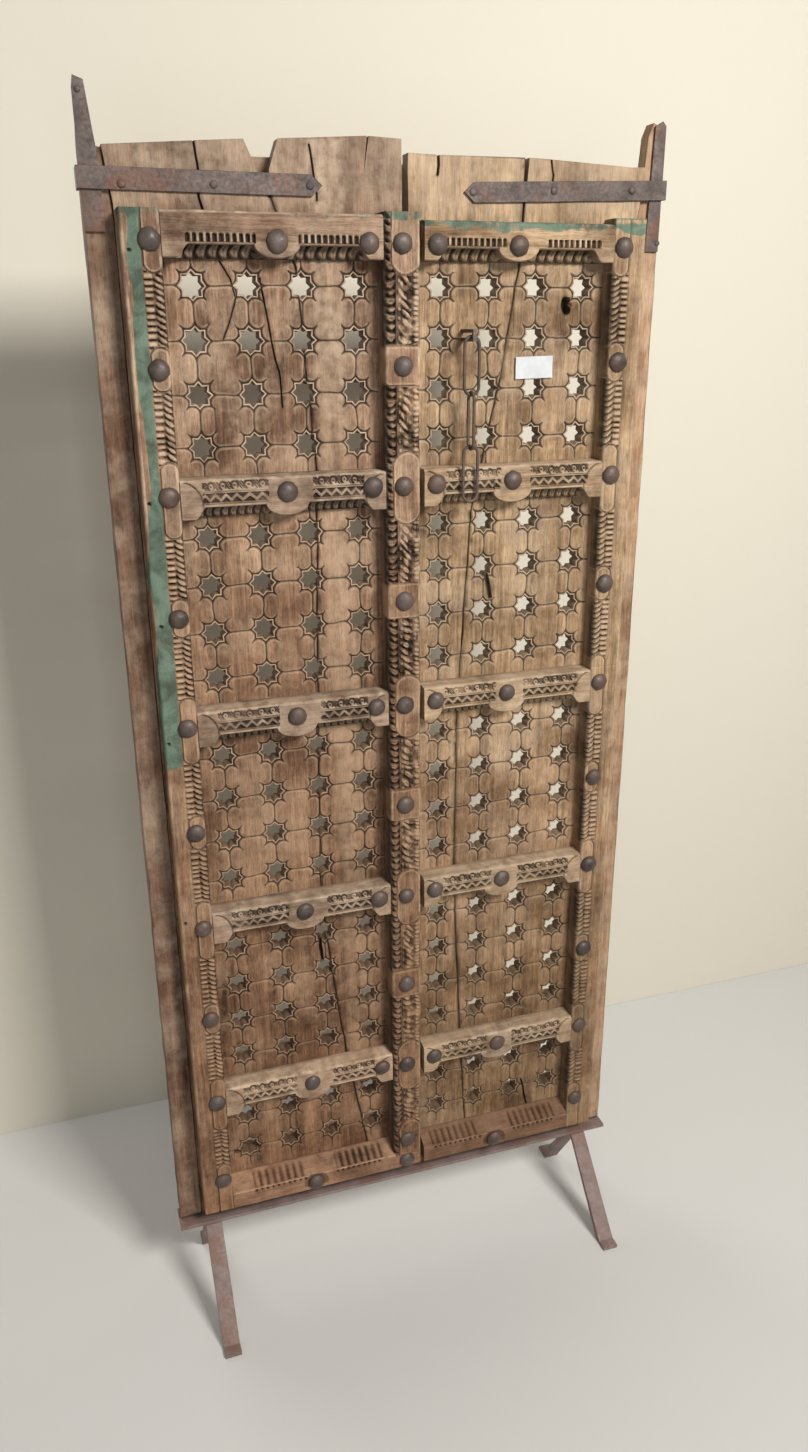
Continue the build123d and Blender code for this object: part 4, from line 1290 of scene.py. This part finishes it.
for i in range(1, 4):
    round_link(f"chain_link_{i}", turned=(i == 2))
paper_tag(frame_points((716, -244))[0], 73.0, 38.0)

for side in ("left", "right"):
    leaf = side + "_leaf"
    level, pole = TIMBER[side][1:]
    weathered(side + "_pole", leaf, pole, bevel=6.0, rough=2.5, seed=3)
    for i in range(1, 7):
        weathered(f"{side}_ledge_{i}", leaf, level, bevel=3.0, rough=1.5, seed=i, axis=0)
    weathered(side + "_strap", leaf, STRAP_IRON, cell=14.0, bevel=1.2, rough=0.7, seed=8, axis=0)
    weathered(side + "_pole_iron", leaf, STRAP_IRON, cell=14.0, bevel=1.2, rough=0.7, seed=9)
    for end in ("front", "rear"):
        weathered(f"{side}_{end}_leg", "stand", STAND_STEEL, cell=20.0, bevel=1.2, rough=0.5, seed=4)
weathered("stand_bar", "stand", STAND_STEEL, cell=25.0, bevel=1.0, rough=0.4, seed=6, axis=0)


# Camera, from the photograph's viewing angle

CAMERA_AT = (-0.6173, -1.8684, 1.99905)
CAMERA_YAW = 0.319485
CAMERA_PITCH = 0.351879
CAMERA_ROLL = -0.006122
FOCAL_PIXELS = 1088.3
PHOTO_HEIGHT = 1452.0
SENSOR = 36.0


def add_camera():
    data = bpy.data.cameras.new("camera")
    data.sensor_fit = "VERTICAL"
    data.sensor_height = SENSOR
    data.lens = FOCAL_PIXELS / PHOTO_HEIGHT * SENSOR
    camera = new_object("camera", data)
    ahead = Vector((math.sin(CAMERA_YAW) * math.cos(CAMERA_PITCH),
                    math.cos(CAMERA_YAW) * math.cos(CAMERA_PITCH), -math.sin(CAMERA_PITCH)))
    level = Vector((math.cos(CAMERA_YAW), -math.sin(CAMERA_YAW), 0.0))
    over = level.cross(ahead)
    right = level * math.cos(CAMERA_ROLL) + over * math.sin(CAMERA_ROLL)
    up = right.cross(ahead)
    turn = Matrix((right, up, -ahead)).transposed()
    camera.matrix_world = Matrix.Translation(CAMERA_AT) @ turn.to_4x4()
    bpy.context.scene.camera = camera


# Floor, backdrop and light

def add_choice(tree, chosen, first, second, output):
    """The first shader where chosen is 0 and the second where it is 1, into the tree's output."""
    choose = tree.nodes.new("ShaderNodeMixShader")
    for socket, value in zip(choose.inputs, (chosen, first.outputs[0], second.outputs[0])):
        tree.links.new(value, socket)
    tree.links.new(choose.outputs[0], tree.nodes[output].inputs["Surface"])


def plain_paper(name, colour, one_sided=False):
    """Matt paper for the floor and wall; the wall shows only from the door's side."""
    material, tree, shader = new_material(name)
    shader.inputs["Base Color"].default_value = (*colour, 1.0)
    shader.inputs["Roughness"].default_value = 0.9
    shader.inputs["Specular IOR Level"].default_value = 0.1
    if one_sided:
        clear = tree.nodes.new("ShaderNodeBsdfTransparent")
        side = tree.nodes.new("ShaderNodeNewGeometry")
        path = tree.nodes.new("ShaderNodeLightPath")
        unseen = math_node(tree, "MAXIMUM", side.outputs["Backfacing"], path.outputs["Is Shadow Ray"])
        add_choice(tree, unseen, shader, clear, "Material Output")
    return material


def add_sheet(name, line, half, material):
    """A floor or wall as wide as twice half, along a line of (y, z) points."""
    verts = [(x, y, z) for y, z in line for x in (-half, half)]
    faces = [(2 * i, 2 * i + 1, 2 * i + 3, 2 * i + 2) for i in range(len(line) - 1)]
    mesh = bpy.data.meshes.new(name)
    mesh.from_pydata(verts, [], faces)
    mesh.polygons.foreach_set("use_smooth", [True] * len(faces))
    mesh.materials.append(material)
    new_object(name, mesh)


def add_backdrop():
    """A wide floor, and close behind the door a wall that is seen from the front only."""
    floor_half, wall_back, wall_top, wall_half = 6.0, 0.68, 3.4, 2.6
    add_sheet("floor", [(-floor_half, 0.0), (floor_half, 0.0)], floor_half,
              plain_paper("floor_paper", (0.66, 0.655, 0.64)))
    add_sheet("wall", [(wall_back, MM), (wall_back, wall_top)], wall_half,
              plain_paper("wall_paper", (0.74, 0.7, 0.6), True))


def area_light(name, place, target, size, power, colour):
    data = bpy.data.lights.new(name, "AREA")
    data.shape = "RECTANGLE"
    data.size, data.size_y = size
    data.energy = power
    data.color = colour
    lamp = new_object(name, data)
    lamp.location = place
    lamp.rotation_euler = (Vector(target) - Vector(place)).to_track_quat("-Z", "Y").to_euler()


def add_light():
    world = bpy.data.worlds.new("world")
    bpy.context.scene.world = world
    world.use_nodes = True
    tree = world.node_tree
    sky = tree.nodes["Background"]
    sky.inputs[0].default_value = (1.0, 0.98, 0.95, 1.0)
    sky.inputs[1].default_value = 0.1
    seen = tree.nodes.new("ShaderNodeBackground")
    seen.inputs[0].default_value = (0.74, 0.72, 0.68, 1.0)
    path = tree.nodes.new("ShaderNodeLightPath")
    shown = math_node(tree, "MAXIMUM", path.outputs["Is Camera Ray"], path.outputs["Is Glossy Ray"])
    add_choice(tree, shown, sky, seen, "World Output")
    area_light("key", (1.1, -3.0, 3.5), (0.0, 0.0, 1.2), (1.1, 0.9), 172.0, (1.0, 0.97, 0.92))
    area_light("fill", (-0.9, -3.2, 1.5), (0.0, 0.0, 1.0), (1.2, 1.2), 20.0, (0.96, 0.98, 1.0))
    area_light("back", (-1.6, 3.4, 3.0), (0.0, 0.0, 1.1), (2.0, 2.0), 45.0, (1.0, 0.99, 0.97))


add_camera()
add_backdrop()
add_light()
bpy.context.scene.view_settings.view_transform = "Standard"
